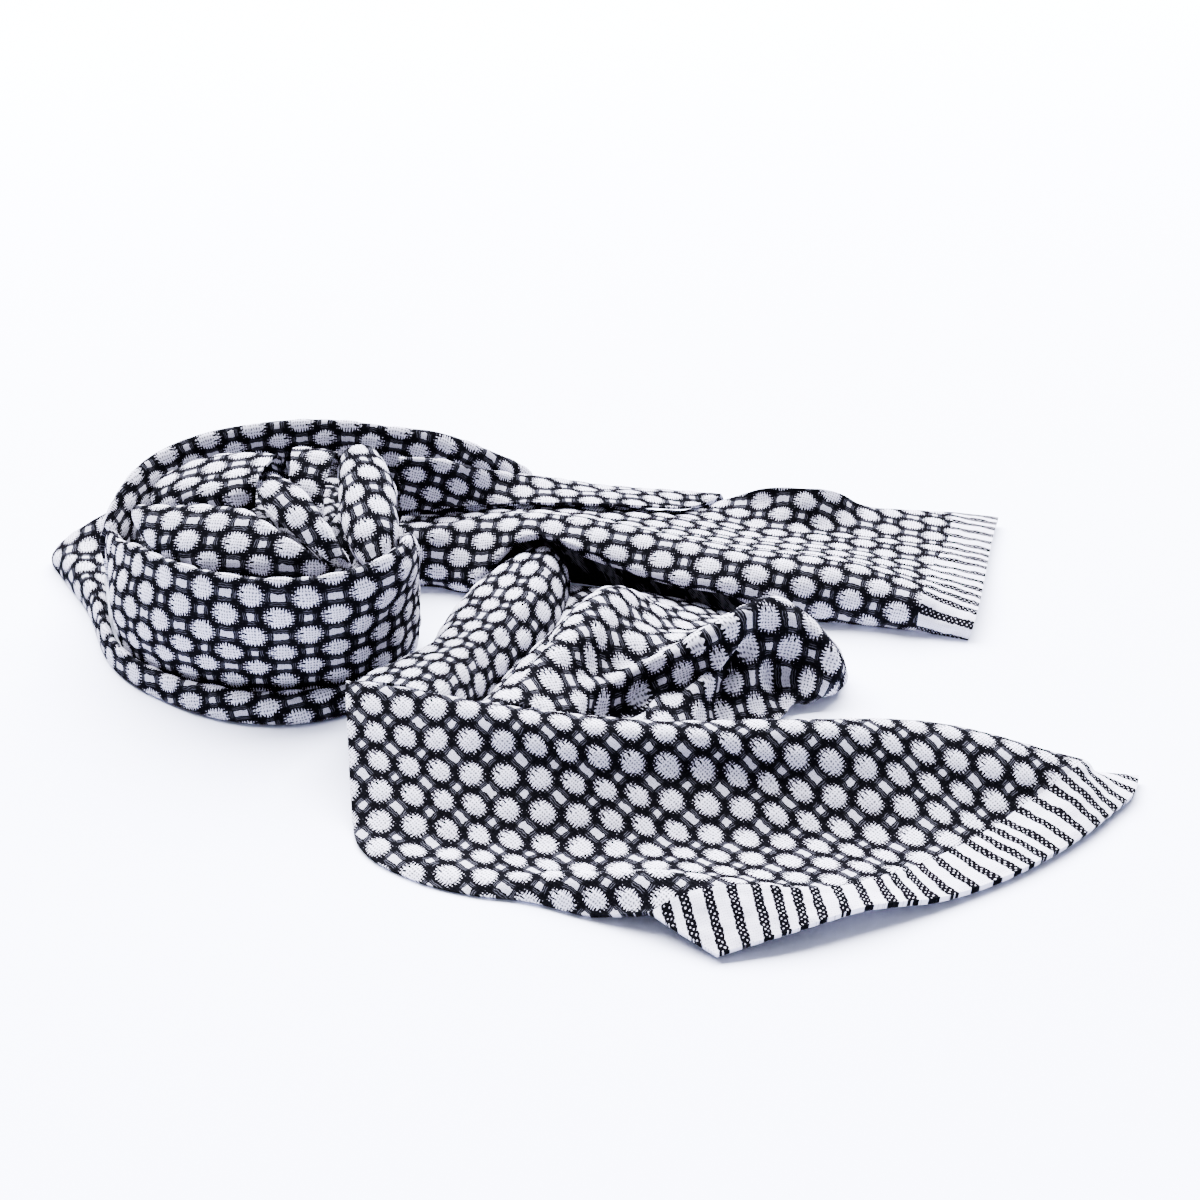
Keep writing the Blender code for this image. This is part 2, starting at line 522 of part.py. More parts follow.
def coil_inner_turns():
    sheet("coil_inner_wrap", loft(INNER_WRAP_LINES.values(), 16, 8), CLOTH_TONE, FINE_CLOTH)
    sheet("coil_top_fold", loft(TOP_FOLD_LINES.values(), 12, 9), CLOTH_TONE, FINE_CLOTH)
    sheet("coil_ridge_roll", loft(RIDGE_ROLL_LINES.values(), 10, 8), CLOTH_TONE, FINE_CLOTH)
    sheet("coil_inner_rim", loft(INNER_RIM_LINES.values(), 7, 8), CLOTH_TONE, FINE_CLOTH)
    sheet("coil_right_fold", loft(RIGHT_FOLD_LINES.values(), 12, 9), CLOTH_TONE, FINE_CLOTH)


# Hidden turns: a drum under the inner turns, with the hollow that shows between them

DRUM_CENTRE = (-108.0, -20.0)
DRUM_HEIGHT = 37.0
HOLLOW = (-91.0, -30.0, 10.0, 20.0, 18.0)   # x, y, half width, half length, depth

# Angle and radius of the drum's outline, which fills the inside of the outer turn
DRUM_OUTLINE = [
    (10, 28.6), (20, 32), (35, 36), (45, 42), (60, 55), (75, 60), (90, 59), (105, 58), (120, 59),
    (135, 61), (150, 58.5), (165, 56), (175, 53), (185, 48), (202, 43), (225, 42), (250, 43.8),
    (275, 47.8), (300, 51.2), (318, 50), (332, 44.6), (345, 39.4), (357, 33.9),
]


def coil_layers():
    turns = np.arange(0.0, 360.0, 15.0)
    angles, radii = np.array(DRUM_OUTLINE, float).T
    radius = np.interp(turns, angles, radii, period=360.0)
    rings = np.array([1.0, 0.85, 0.68, 0.5, 0.32, 0.14])[:, None]
    x = DRUM_CENTRE[0] + radius * rings * np.cos(np.radians(turns))
    y = DRUM_CENTRE[1] + radius * rings * np.sin(np.radians(turns))
    hollow_x, hollow_y, half_width, half_length, depth = HOLLOW
    away = ((x - hollow_x) / half_width) ** 2 + ((y - hollow_y) / half_length) ** 2
    z = DRUM_HEIGHT - 4.0 * rings**6 - depth * np.exp(-away)
    top = np.stack([x, y, z], axis=-1)
    round_object("coil_layers", top, HIDDEN_TONE)


def clear_scene():
    for piece in list(bpy.data.objects):
        bpy.data.objects.remove(piece, do_unlink=True)


def build():
    clear_scene()
    front_panel()
    rear_strand()
    strand_flap()
    middle_strand()
    heap()
    coil_main_wall()
    coil_outer_turn()
    coil_base_turn()
    coil_inner_turns()
    coil_layers()


build()
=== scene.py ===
# Woven scarf dropped on a pale surface: coil, rear strand, middle strand, heap and front panel.
# Each stretch of cloth is a closed shell lofted over its guide lines (x, y, z in mm, layout frame:
# x right, y away, z up) and flattened once, so that the weave follows the cloth in real millimetres.
import bpy
import math
import numpy as np
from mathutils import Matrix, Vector


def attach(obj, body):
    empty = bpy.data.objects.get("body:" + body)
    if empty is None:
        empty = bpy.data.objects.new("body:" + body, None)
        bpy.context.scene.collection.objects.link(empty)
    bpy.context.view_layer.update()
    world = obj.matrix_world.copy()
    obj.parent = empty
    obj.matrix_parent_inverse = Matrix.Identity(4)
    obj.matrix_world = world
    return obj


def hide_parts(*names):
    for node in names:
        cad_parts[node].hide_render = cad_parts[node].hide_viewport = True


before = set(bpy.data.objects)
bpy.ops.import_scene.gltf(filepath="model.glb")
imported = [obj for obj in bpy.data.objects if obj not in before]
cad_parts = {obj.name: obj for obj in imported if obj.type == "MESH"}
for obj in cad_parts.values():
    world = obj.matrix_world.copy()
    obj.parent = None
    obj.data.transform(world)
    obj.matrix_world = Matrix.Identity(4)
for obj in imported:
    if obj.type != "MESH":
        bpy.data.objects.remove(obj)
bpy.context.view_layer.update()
bpy.ops.object.select_all(action="DESELECT")

mm = 0.001
layoutCentre = np.array([-22.4, -61.7, 0.0])  # taken off every point, the same as in the CAD
clothWall = 1.8
fineWall = 1.0     # where folds are tight
pressedFlat = 0.7  # cloth lower than this lies on the floor
meshStep = 1.1     # grid of the finished shells
flatStep = 1.5     # points in the flattened grid for each point of the coarse one
curveSteps = 24    # steps that measure a guide curve, for each of its points
weightRange = (0.05, 20.0)  # of an edge in the flattening
sharpAngle = 60.0  # degrees


# guide lines, lofts and their inner side

def throughPoints(points, knots, at):
    slopes = np.gradient(points, knots, axis=0)
    low = np.clip(np.searchsorted(knots, at, side="right") - 1, 0, len(knots) - 2)
    span = knots[low + 1] - knots[low]
    shape = (-1,) + (1,) * (points.ndim - 1)
    t = ((at - knots[low]) / span).reshape(shape)
    span = span.reshape(shape)
    near, far = points[low], points[low + 1]
    leave, arrive = slopes[low] * span, slopes[low + 1] * span
    return (near * (2 * t**3 - 3 * t**2 + 1) + leave * (t**3 - 2 * t**2 + t)
            + far * (3 * t**2 - 2 * t**3) + arrive * (t**3 - t**2))


def runLength(points):
    steps = np.linalg.norm(np.diff(points, axis=0), axis=-1)
    return np.concatenate([[0.0], np.cumsum(steps)])


def guideCurve(points, count):
    points = np.array(points, float)
    knots = runLength(points)
    fineKnots = np.linspace(0.0, knots[-1], curveSteps * len(points))
    length = runLength(throughPoints(points, knots, fineKnots))
    at = np.interp(np.linspace(0.0, length[-1], count), length, fineKnots)
    return throughPoints(points, knots, at)


def meanRun(grid):
    # mean distance along the first axis, from the first row
    steps = np.linalg.norm(np.diff(grid, axis=0), axis=-1).mean(axis=1)
    return np.concatenate([[0.0], np.cumsum(steps)])


def loftLines(lines, along, across):
    rails = np.array([guideCurve(line, along) for line in lines.values()])
    knots = meanRun(rails)
    return throughPoints(rails, knots, np.linspace(0.0, knots[-1], across))


def gridNormals(grid):
    n = np.cross(np.gradient(grid, axis=1), np.gradient(grid, axis=0))
    return n / np.maximum(np.linalg.norm(n, axis=-1, keepdims=True), 1e-9)


def softened(field):
    wide = np.pad(field, ((1, 1), (1, 1), (0, 0)), mode="edge")
    mixed = (2 * field + wide[:-2, 1:-1] + wide[2:, 1:-1] + wide[1:-1, :-2] + wide[1:-1, 2:]) / 6
    return mixed / np.maximum(np.linalg.norm(mixed, axis=-1, keepdims=True), 1e-9)


def innerSide(grid, depth):
    return grid - softened(softened(gridNormals(grid))) * depth


def pressFlat(grid):
    flat = grid.copy()
    flat[..., 2] = np.where(flat[..., 2] < pressedFlat, 0.0, flat[..., 2])
    return flat


def refined(grid, count):
    return throughPoints(grid, np.arange(len(grid), dtype=float), np.linspace(0, len(grid) - 1, count))


def finer(grid, across, along):
    # a finer grid through every point of the coarse one
    return np.swapaxes(refined(np.swapaxes(refined(grid, across), 0, 1), along), 0, 1)


# the cloth laid flat: every small triangle keeps its shape as nearly as the whole allows

def flatCloth(grid, rounds=40):
    rows, columns = grid.shape[:2]
    points = grid.reshape(-1, 3)
    index = np.arange(rows * columns).reshape(rows, columns)
    a, b = index[:-1, :-1].ravel(), index[:-1, 1:].ravel()
    c, d = index[1:, 1:].ravel(), index[1:, :-1].ravel()
    corners = np.concatenate([np.stack(t, axis=1) for t in ((a, b, c), (a, c, d), (a, b, d), (b, c, d))])
    p0, p1, p2 = points[corners[:, 0]], points[corners[:, 1]], points[corners[:, 2]]
    base = np.maximum(np.linalg.norm(p1 - p0, axis=1), 1e-6)
    unit = (p1 - p0) / base[:, None]
    reach = np.einsum("ij,ij->i", p2 - p0, unit)
    rise = np.maximum(np.linalg.norm(p2 - p0 - reach[:, None] * unit, axis=1), 1e-6)
    local = np.zeros((len(corners), 3, 2))
    local[:, 1, 0] = base
    local[:, 2, 0] = reach
    local[:, 2, 1] = rise
    count = len(points)
    pull = np.zeros((count, count))
    edges = []
    for k in range(3):
        i, j = corners[:, k], corners[:, (k + 1) % 3]
        side = local[:, k] - local[:, (k + 1) % 3]
        e1, e2 = local[:, k] - local[:, (k + 2) % 3], local[:, (k + 1) % 3] - local[:, (k + 2) % 3]
        cross = np.abs(e1[:, 0] * e2[:, 1] - e1[:, 1] * e2[:, 0])
        weight = np.clip((e1 * e2).sum(axis=1) / np.maximum(cross, 1e-9), *weightRange)
        edges.append((i, j, side, weight))
        np.add.at(pull, (i, i), weight)
        np.add.at(pull, (j, j), weight)
        np.add.at(pull, (i, j), -weight)
        np.add.at(pull, (j, i), -weight)
    pull[0, 0] += 1.0
    solve = np.linalg.inv(pull)
    flat = np.stack(np.meshgrid(meanRun(np.swapaxes(grid, 0, 1)), meanRun(grid)), axis=-1).reshape(-1, 2)
    for turn in range(rounds):
        s = np.zeros((len(corners), 2, 2))
        for i, j, side, weight in edges:
            s += (weight[:, None] * (flat[i] - flat[j]))[:, :, None] * side[:, None, :]
        angle = np.arctan2(s[:, 1, 0] - s[:, 0, 1], s[:, 0, 0] + s[:, 1, 1])
        cos, sin = np.cos(angle), np.sin(angle)
        wanted = np.zeros((count, 2))
        for i, j, side, weight in edges:
            turned = np.stack([cos * side[:, 0] - sin * side[:, 1],
                               sin * side[:, 0] + cos * side[:, 1]], axis=1)
            np.add.at(wanted, i, weight[:, None] * turned)
            np.add.at(wanted, j, -weight[:, None] * turned)
        flat = solve @ wanted
    return flat.reshape(rows, columns, 2)


def layWarp(flat, grid, spot, way, phase):
    # turns the flat cloth so that the warp runs the given way at one spot, and sets the weave's phase there
    i = min(int(spot[1] * (len(grid) - 1)), len(grid) - 2)
    j = min(int(spot[0] * (len(grid[0]) - 1)), len(grid[0]) - 2)
    frameOf = np.stack([grid[i, j + 1] - grid[i, j], grid[i + 1, j] - grid[i, j]], axis=1)
    share = np.linalg.lstsq(frameOf, np.array(way, float), rcond=None)[0]
    warpWay = share[0] * (flat[i, j + 1] - flat[i, j]) + share[1] * (flat[i + 1, j] - flat[i, j])
    angle = math.atan2(warpWay[0], warpWay[1])
    cos, sin = math.cos(angle), math.sin(angle)
    moved = flat - flat[i, j]
    u = moved[..., 0] * cos - moved[..., 1] * sin + phase[0]
    v = moved[..., 0] * sin + moved[..., 1] * cos + phase[1]
    return np.stack([u, v], axis=-1)


def layFlat(grid, warp, rounds=40):
    # warp: share along and across, the way it runs there (None: along the first line), weave phase there
    middle = finer(grid, int(flatStep * len(grid)), int(flatStep * len(grid[0])))
    spot, way, phase = warp
    if way is None:
        way = middle[0, 1] - middle[0, 0]
    return layWarp(flatCloth(middle, rounds), middle, spot, way, phase)


# the weave, once for the relief of the shells and again in the material's nodes

weave = dict(
    wide=7.0,                   # column of six white ends and four black ones, mm
    narrow=5.6,                 # column of four white ends and four black ones
    row=8.5,                    # one row of cells along the warp
    islandHalf=(0.442, 0.458),  # white island, half its size across and along, in cells
    islandMore=(0.01, 0.03),    # every second one is larger by this in the colour
    corner=1.85,                # 2 gives an ellipse, more gives squarer corners
    squareAlong=0.130,          # small near square cell, half its size along
    barHalf=(0.165, 0.26),      # small longer cell, half its size across and along
    puff=0.42,                  # height of an island over the black lines, mm
    islandRim=1.2,              # more makes an island's top flatter
    smallHalf=(0.25, 0.28),     # raised part of a small cell
    smallRim=1.4,
    smallPuff=0.4,              # its height as a share of an island's
    pinAcross=1.02,             # spacing of the ends inside an island, mm
    pinAlong=0.94,              # and of the picks
    smallPins=(10, 12),         # ends and picks in a small cell's column and row
    teeth=0.24,                 # depth of the teeth and loops round an island
    slits=1.75,                 # spacing of the dark slits at one end of an island
    doubled=0.62,               # spacing of the doubled black threads
)


def columnOf(u):
    # three wide columns, then three narrow ones
    wideSpan = 3 * weave["wide"]
    repeat = 3 * (weave["wide"] + weave["narrow"])
    turn = np.floor(u / repeat)
    left = u - turn * repeat
    return (np.minimum(left, wideSpan) / weave["wide"]
            + np.maximum(left - wideSpan, 0) / weave["narrow"] + 6 * turn)


def weaveRelief(flat):
    w = weave
    a, b = columnOf(flat[..., 0]), flat[..., 1] / w["row"]
    height = np.zeros(a.shape)
    for middle in (0.5, 1.5):
        da = np.abs((a - middle + 1) % 2 - 1) / w["islandHalf"][0]
        db = np.abs((b - middle + 1) % 2 - 1) / w["islandHalf"][1]
        dome = np.clip(w["islandRim"] - da ** w["corner"] - db ** w["corner"], 0.0, 1.0)
        height = np.maximum(height, dome * dome * (3 - 2 * dome))
    smallA, smallB = w["smallHalf"]
    small = np.maximum(np.abs(a % 1 - 0.5) / smallA, np.abs(b % 1 - 0.5) / smallB)
    raised = w["smallPuff"] * np.clip(w["smallRim"] - small**2, 0.0, 1.0)
    return np.maximum(height, raised) * w["puff"]


def creaseHeight(flat, coarse, creases):
    # soft troughs and ridges drawn one by one: points as shares along and across, half width and height in mm
    endShare = 0.3
    height = np.zeros(flat.shape[:2])
    rows, columns = coarse.shape[:2]
    for places, halfWidth, lift in creases:
        line = np.array([coarse[int(round(t * (rows - 1))), int(round(s * (columns - 1)))]
                         for s, t in places])
        length = runLength(line)
        away = np.full(height.shape, 1e9)
        along = np.zeros(height.shape)
        for k in range(len(line) - 1):
            way = line[k + 1] - line[k]
            share = np.clip(((flat - line[k]) @ way) / max(way @ way, 1e-9), 0, 1)
            gap = np.linalg.norm(flat - line[k] - share[..., None] * way, axis=-1)
            nearer = gap < away
            away = np.where(nearer, gap, away)
            run = (length[k] + share * (length[k + 1] - length[k])) / max(length[-1], 1e-6)
            along = np.where(nearer, run, along)
        taper = endShare + (1 - endShare) * np.sin(np.pi * along)
        height += lift * taper * np.exp(-((away / halfWidth) ** 2))
    return height


# closed shells

def shellMesh(name, outer, inner, flat, material, innerFlat=None):
    rows, columns = outer.shape[:2]
    count = rows * columns
    index = np.arange(count).reshape(rows, columns)
    a, b, c, d = index[:-1, :-1], index[:-1, 1:], index[1:, 1:], index[1:, :-1]
    top = np.stack([a, b, c, d], axis=-1).reshape(-1, 4)
    under = np.stack([a, d, c, b], axis=-1).reshape(-1, 4) + count
    rim = []
    for j in range(columns - 1):
        rim.append((index[0, j + 1], index[0, j], index[0, j] + count, index[0, j + 1] + count))
        rim.append((index[-1, j], index[-1, j + 1], index[-1, j + 1] + count, index[-1, j] + count))
    for i in range(rows - 1):
        rim.append((index[i, 0], index[i + 1, 0], index[i + 1, 0] + count, index[i, 0] + count))
        rim.append((index[i + 1, -1], index[i, -1], index[i, -1] + count, index[i + 1, -1] + count))
    faces = np.concatenate([top, under, np.array(rim)])
    points = (np.concatenate([outer.reshape(-1, 3), inner.reshape(-1, 3)]) - layoutCentre) * mm
    mesh = bpy.data.meshes.new(name)
    mesh.from_pydata(points.tolist(), [], faces.tolist())
    mesh.update()
    layer = mesh.uv_layers.new(name="weave")
    innerFlat = flat if innerFlat is None else innerFlat
    uv = np.concatenate([flat.reshape(-1, 2), innerFlat.reshape(-1, 2)])
    loops = np.empty(len(mesh.loops), int)
    mesh.loops.foreach_get("vertex_index", loops)
    layer.data.foreach_set("uv", uv[loops].astype(np.float32).ravel())
    mesh.shade_smooth()
    mesh.set_sharp_from_angle(angle=math.radians(sharpAngle))
    mesh.materials.append(material)
    piece = bpy.data.objects.new(name, mesh)
    bpy.context.scene.collection.objects.link(piece)
    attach(piece, "root")
    return piece


def faded(height, cells=3):
    rows, columns = height.shape
    i = np.minimum(np.arange(rows), np.arange(rows)[::-1])
    j = np.minimum(np.arange(columns), np.arange(columns)[::-1])
    edge = np.minimum(np.clip(i / cells, 0, 1)[:, None], np.clip(j / cells, 0, 1)[None, :])
    return height * edge


def clothSurface(coarse, wall, warp, creases, grow=1.0):
    # both sides of the cloth on the fine grid, and the weave's place on it
    outer, inner = pressFlat(coarse), pressFlat(innerSide(coarse, wall))
    coarseFlat = layFlat(outer, warp)
    across = int(meanRun(outer)[-1] / meshStep) + 2
    along = int(meanRun(np.swapaxes(outer, 0, 1))[-1] / meshStep) + 2
    outer, inner = finer(outer, across, along), finer(inner, across, along)
    flat = finer(coarseFlat, across, along) * grow
    way = softened(gridNormals(outer))
    folds = faded(creaseHeight(flat, coarseFlat, creases))
    outer = outer + way * (folds + faded(weaveRelief(flat)))[..., None]
    inner = inner + way * np.minimum(folds, 0)[..., None]
    for side in (outer, inner):
        side[..., 2] = np.maximum(side[..., 2], 0.0)
    return outer, inner, flat


# materials

def mathNode(tree, kind, *values):
    node = tree.nodes.new("ShaderNodeMath")
    node.operation = kind
    for socket, value in zip(node.inputs, values):
        if isinstance(value, (int, float)):
            socket.default_value = value
        else:
            tree.links.new(value, socket)
    return node.outputs[0]


def stepNode(tree, value, low, high):
    # smooth step from 0 at low to 1 at high
    node = tree.nodes.new("ShaderNodeMapRange")
    node.interpolation_type = "SMOOTHSTEP"
    tree.links.new(value, node.inputs["Value"])
    node.inputs["From Min"].default_value = low
    node.inputs["From Max"].default_value = high
    return node.outputs["Result"]


def mixColour(tree, share, first, second):
    node = tree.nodes.new("ShaderNodeMix")
    node.data_type = "RGBA"
    for socket, value in ((node.inputs[0], share), (node.inputs[6], first), (node.inputs[7], second)):
        if isinstance(value, tuple):
            socket.default_value = (*value, 1.0)
        else:
            tree.links.new(value, socket)
    return node.outputs[2]


yarn = dict(
    white=(0.56, 0.55, 0.65),
    whitePaintedShade=(0.035, 0.035, 0.042),  # painted shade of the white yarn, in the pinholes
    holePaintedShade=0.9,
    black=(0.0008, 0.0008, 0.0012),
    # painted highlight on the black threads
    blackPaintedHighlight=(0.005, 0.005, 0.0065),
    between=(0.06, 0.06, 0.075),       # thin light lines between doubled black threads
    smallShade=(0.38, 0.5),            # small cells: darker all over, and painted shade in their pinholes
    roughness=0.95,
    wander=0.42,                       # how far the yarn strays from a straight line, mm
    relief=(0.5, 0.35, 0.5),           # bump of the white yarn, its threads and its fuzz
    bump=(0.35, 0.0003),               # strength, and distance in m
)

# noise: scale, detail and roughness
yarnNoise = dict(stray=(0.42, 3.0, 0.62), tone=(1.3, 3.0, 0.5), fuzz=(2.2, 2.0, 0.5))

hemStripes = dict(
    dots=(1.0, 0.8),     # zigzag dots on a black stripe: half their spacing across and along, mm
    dotLight=0.8,
    threads=(0.7, 0.8),  # spacing of the ends and of the picks
    # share of painted shade in the hem's pinholes
    holeShare=0.7,
)

# values at which each soft edge of the pattern is 0 and 1
softEdges = dict(
    stripe=(1.52, 1.66), dot=(0.58, 0.82), hemHole=(1.0, 1.9),
    island=(1.03, 0.93), islandHole=(0.0, 1.1),
    slitFrom=(-0.21, -0.25), slitTo=(0.90, 0.82), slitSide=(0.62, 0.50), slitWave=(-0.20, -0.65),
    small=(0.06, -0.10), smallHole=(0.5, 1.8),
    lineFrom=(0.30, 0.36), lineTo=(1.55, 1.45),
    sideLine=(0.55, 1.0), sideSpan=(0.5, -0.2), endLine=(0.45, 0.95), endSpan=(0.4, -0.1),
)


def clothMaterial(name, hem=False, shade=1.0):
    material = bpy.data.materials.new(name)
    material.use_nodes = True
    tree = material.node_tree
    shader = tree.nodes["Principled BSDF"]
    place = tree.nodes.new("ShaderNodeUVMap")
    place.uv_map = "weave"
    w = weave

    def calc(kind, *values):
        return mathNode(tree, kind, *values)

    def product(first, *others):
        for other in others:
            first = calc("MULTIPLY", first, other)
        return first

    def wave(value, spacing):
        return calc("COSINE", calc("MULTIPLY", value, 2 * math.pi / spacing))

    def edge(value, kind):
        return stepNode(tree, value, *softEdges[kind])

    def noise(kind):
        node = tree.nodes.new("ShaderNodeTexNoise")
        for socket, value in zip(("Scale", "Detail", "Roughness"), yarnNoise[kind]):
            node.inputs[socket].default_value = value
        tree.links.new(place.outputs[0], node.inputs["Vector"])
        return node

    # place in the weave, with the yarn straying a little; the noise keeps within a quarter of its range
    parts = tree.nodes.new("ShaderNodeSeparateXYZ")
    tree.links.new(place.outputs[0], parts.inputs[0])
    shift = tree.nodes.new("ShaderNodeSeparateColor")
    tree.links.new(noise("stray").outputs["Color"], shift.inputs[0])
    far = 4 * yarn["wander"]
    u, v = [calc("ADD", parts.outputs[k], product(calc("SUBTRACT", shift.outputs[k], 0.5), far))
            for k in (0, 1)]

    # columns: three wide, three narrow
    wideSpan = 3 * w["wide"]
    repeat = 3 * (w["wide"] + w["narrow"])
    turn = calc("FLOOR", calc("DIVIDE", u, repeat))
    left = calc("SUBTRACT", u, product(turn, repeat))
    wideSide = calc("DIVIDE", calc("MINIMUM", left, wideSpan), w["wide"])
    narrowSide = calc("DIVIDE", calc("MAXIMUM", calc("SUBTRACT", left, wideSpan), 0.0), w["narrow"])
    a = calc("ADD", calc("ADD", wideSide, narrowSide), product(turn, 6.0))
    inNarrow = calc("GREATER_THAN", left, wideSpan)
    pitch = calc("SUBTRACT", w["wide"], product(inNarrow, w["wide"] - w["narrow"]))
    b = calc("DIVIDE", v, w["row"])

    def stripes():
        # white stripes, and black ones with zigzag dots
        fa = calc("SUBTRACT", calc("FRACT", a), 0.5)
        fromBlack = product(calc("SUBTRACT", 0.5, calc("ABSOLUTE", fa)), pitch)
        side = product(calc("SIGN", fa), fromBlack)
        dotAcross, dotAlong = hemStripes["dots"]
        dots = product(calc("SINE", product(side, math.pi / dotAcross)), wave(v, 2 * dotAlong))
        dots = product(edge(dots, "dot"), hemStripes["dotLight"])
        light = calc("MAXIMUM", edge(fromBlack, "stripe"), dots)
        ends, picks = hemStripes["threads"]
        threads = calc("ADD", wave(u, ends), wave(v, picks))
        return light, product(edge(threads, "hemHole"), hemStripes["holeShare"]), threads, None

    def island(k):
        # one of the two islands of a repeat: its shape, pinholes and threads
        da, db = [calc("SUBTRACT", calc("FLOORED_MODULO", calc("ADD", at, 0.5 - k), 2.0), 1.0)
                  for at in (a, b)]
        ra, rb = [calc("DIVIDE", calc("ABSOLUTE", off), half + more * k)
                  for off, half, more in zip((da, db), w["islandHalf"], w["islandMore"])]
        reach = calc("ADD", calc("POWER", ra, w["corner"]), calc("POWER", rb, w["corner"]))
        reach = calc("POWER", reach, 1 / w["corner"])
        across = product(da, pitch)
        endWave, pickWave = wave(across, w["pinAcross"]), wave(db, w["pinAlong"] / w["row"])
        # sides end in short teeth, ends in longer loops
        teeth = product(pickWave, w["teeth"], calc("POWER", calc("MINIMUM", ra, 1.0), 3.0))
        loops = product(endWave, -w["teeth"], calc("POWER", calc("MINIMUM", rb, 1.0), 3.0))
        rim = calc("ADD", reach, calc("ADD", teeth, loops))
        slit = product(edge(db, "slitFrom"), edge(rb, "slitTo"),
                       edge(wave(across, w["slits"]), "slitWave"), edge(ra, "slitSide"))
        threads = calc("ADD", endWave, pickWave)
        return product(edge(rim, "island"), calc("SUBTRACT", 1.0, slit)), edge(threads, "islandHole"), threads

    def cells():
        # islands stand on every second crossing of columns and rows
        shape, holes, threads = island(0)
        other, otherHoles = island(1)[:2]
        share = calc("GREATER_THAN", other, shape)
        holes = calc("ADD", product(otherHoles, share), product(holes, calc("SUBTRACT", 1.0, share)))
        shape = calc("MAXIMUM", shape, other)
        # small cells lie between them: a near square or a longer bar
        column = calc("FLOOR", a)
        odd = calc("FLOORED_MODULO", calc("ADD", column, calc("FLOOR", b)), 2.0)
        square = product(odd, calc("FLOORED_MODULO", column, 2.0))
        fa, fb = [calc("ABSOLUTE", calc("SUBTRACT", calc("FRACT", at), 0.5)) for at in (a, b)]
        barA, barB = w["barHalf"]
        outA = product(calc("SUBTRACT", fa, barA), w["wide"])
        halfB = calc("SUBTRACT", barB, product(square, barB - w["squareAlong"]))
        outB = product(calc("SUBTRACT", fb, halfB), w["row"])
        small = product(edge(calc("MAXIMUM", outA, outB), "small"), odd)
        pins = calc("ADD", wave(a, 1 / w["smallPins"][0]), wave(b, 1 / w["smallPins"][1]))
        allOver, inHoles = yarn["smallShade"]
        smallHoles = calc("ADD", allOver, product(edge(pins, "smallHole"), inHoles))
        holes = calc("ADD", product(holes, calc("SUBTRACT", 1.0, small)), product(small, smallHoles))

        def lines(out, other, bright, span):
            return product(edge(wave(out, w["doubled"]), bright), edge(out, "lineFrom"),
                           edge(out, "lineTo"), edge(other, span))

        # thin light lines between doubled black threads
        grey = calc("MAXIMUM", lines(outA, outB, "sideLine", "sideSpan"),
                    lines(outB, outA, "endLine", "endSpan"))
        return calc("MAXIMUM", shape, small), holes, threads, product(grey, odd)

    light, holes, threads, grey = stripes() if hem else cells()
    fine = product(threads, 0.25)  # from -0.5 to 0.5

    # soft white cotton with painted shade in its pinholes, black cotton with a painted highlight on its
    # threads; the last argument darkens the white and grey colours as painted shade
    white, whitePaintedShade, between = [tuple(part * shade for part in yarn[kind])
                                  for kind in ("white", "whitePaintedShade", "between")]
    whiteYarn = mixColour(tree, product(holes, yarn["holePaintedShade"]), white, whitePaintedShade)
    glint = product(calc("ADD", fine, 0.5), noise("tone").outputs[0])
    ground = mixColour(tree, glint, yarn["black"], yarn["blackPaintedHighlight"])
    if grey:
        ground = mixColour(tree, grey, ground, between)
    tree.links.new(mixColour(tree, light, ground, whiteYarn), shader.inputs["Base Color"])
    shader.inputs["Roughness"].default_value = yarn["roughness"]
    shader.inputs["Specular IOR Level"].default_value = 0.0

    ofWhite, ofThreads, ofFuzz = yarn["relief"]
    fuzz = product(noise("fuzz").outputs[0], ofFuzz)
    height = calc("ADD", product(light, ofWhite), calc("ADD", product(fine, ofThreads), fuzz))
    bump = tree.nodes.new("ShaderNodeBump")
    for socket, value in zip(("Strength", "Distance"), yarn["bump"]):
        bump.inputs[socket].default_value = value
    tree.links.new(height, bump.inputs["Height"])
    tree.links.new(bump.outputs[0], shader.inputs["Normal"])
    return material


clothWeave = clothMaterial("scarfCloth")
hemWeave = clothMaterial("scarfHem", hem=True)
# the layers hidden under the sheets and inside the coil lie in shade: their weave is darkened as painted
# shade
layersInPaintedShade = clothMaterial("scarfLayersPaintedShade", shade=0.08)
coilLayersInPaintedShade = clothMaterial("scarfCoilLayersPaintedShade", shade=0.55)
print("materials made")


# sheets with a hem, and the layers under a sheet

hemColumns = 5  # of the coarse grid


def turnHem(flat, split, bend):
    # the warp turns along the hem where the cloth is rippled: degrees at even places along it
    turned = flat.copy()
    seam = flat[:, split]
    angle = np.radians(np.interp(np.linspace(0, 1, len(flat)), np.linspace(0, 1, len(bend)), bend))
    weft = np.stack([np.cos(angle), np.sin(angle)], axis=1)
    warpWay = np.stack([-np.sin(angle), np.cos(angle)], axis=1)
    steps = (np.diff(seam, axis=0) * (weft[1:] + weft[:-1]) / 2).sum(axis=1)
    uSeam = np.concatenate([[0.0], np.cumsum(steps)])
    uSeam += seam[-1, 0] - uSeam[-1]
    off = flat[:, split:] - seam[:, None]
    turned[:, split:, 0] = uSeam[:, None] + np.einsum("ijk,ik->ij", off, weft)
    turned[:, split:, 1] = np.einsum("ijk,ik->ij", off, warpWay)
    return turned


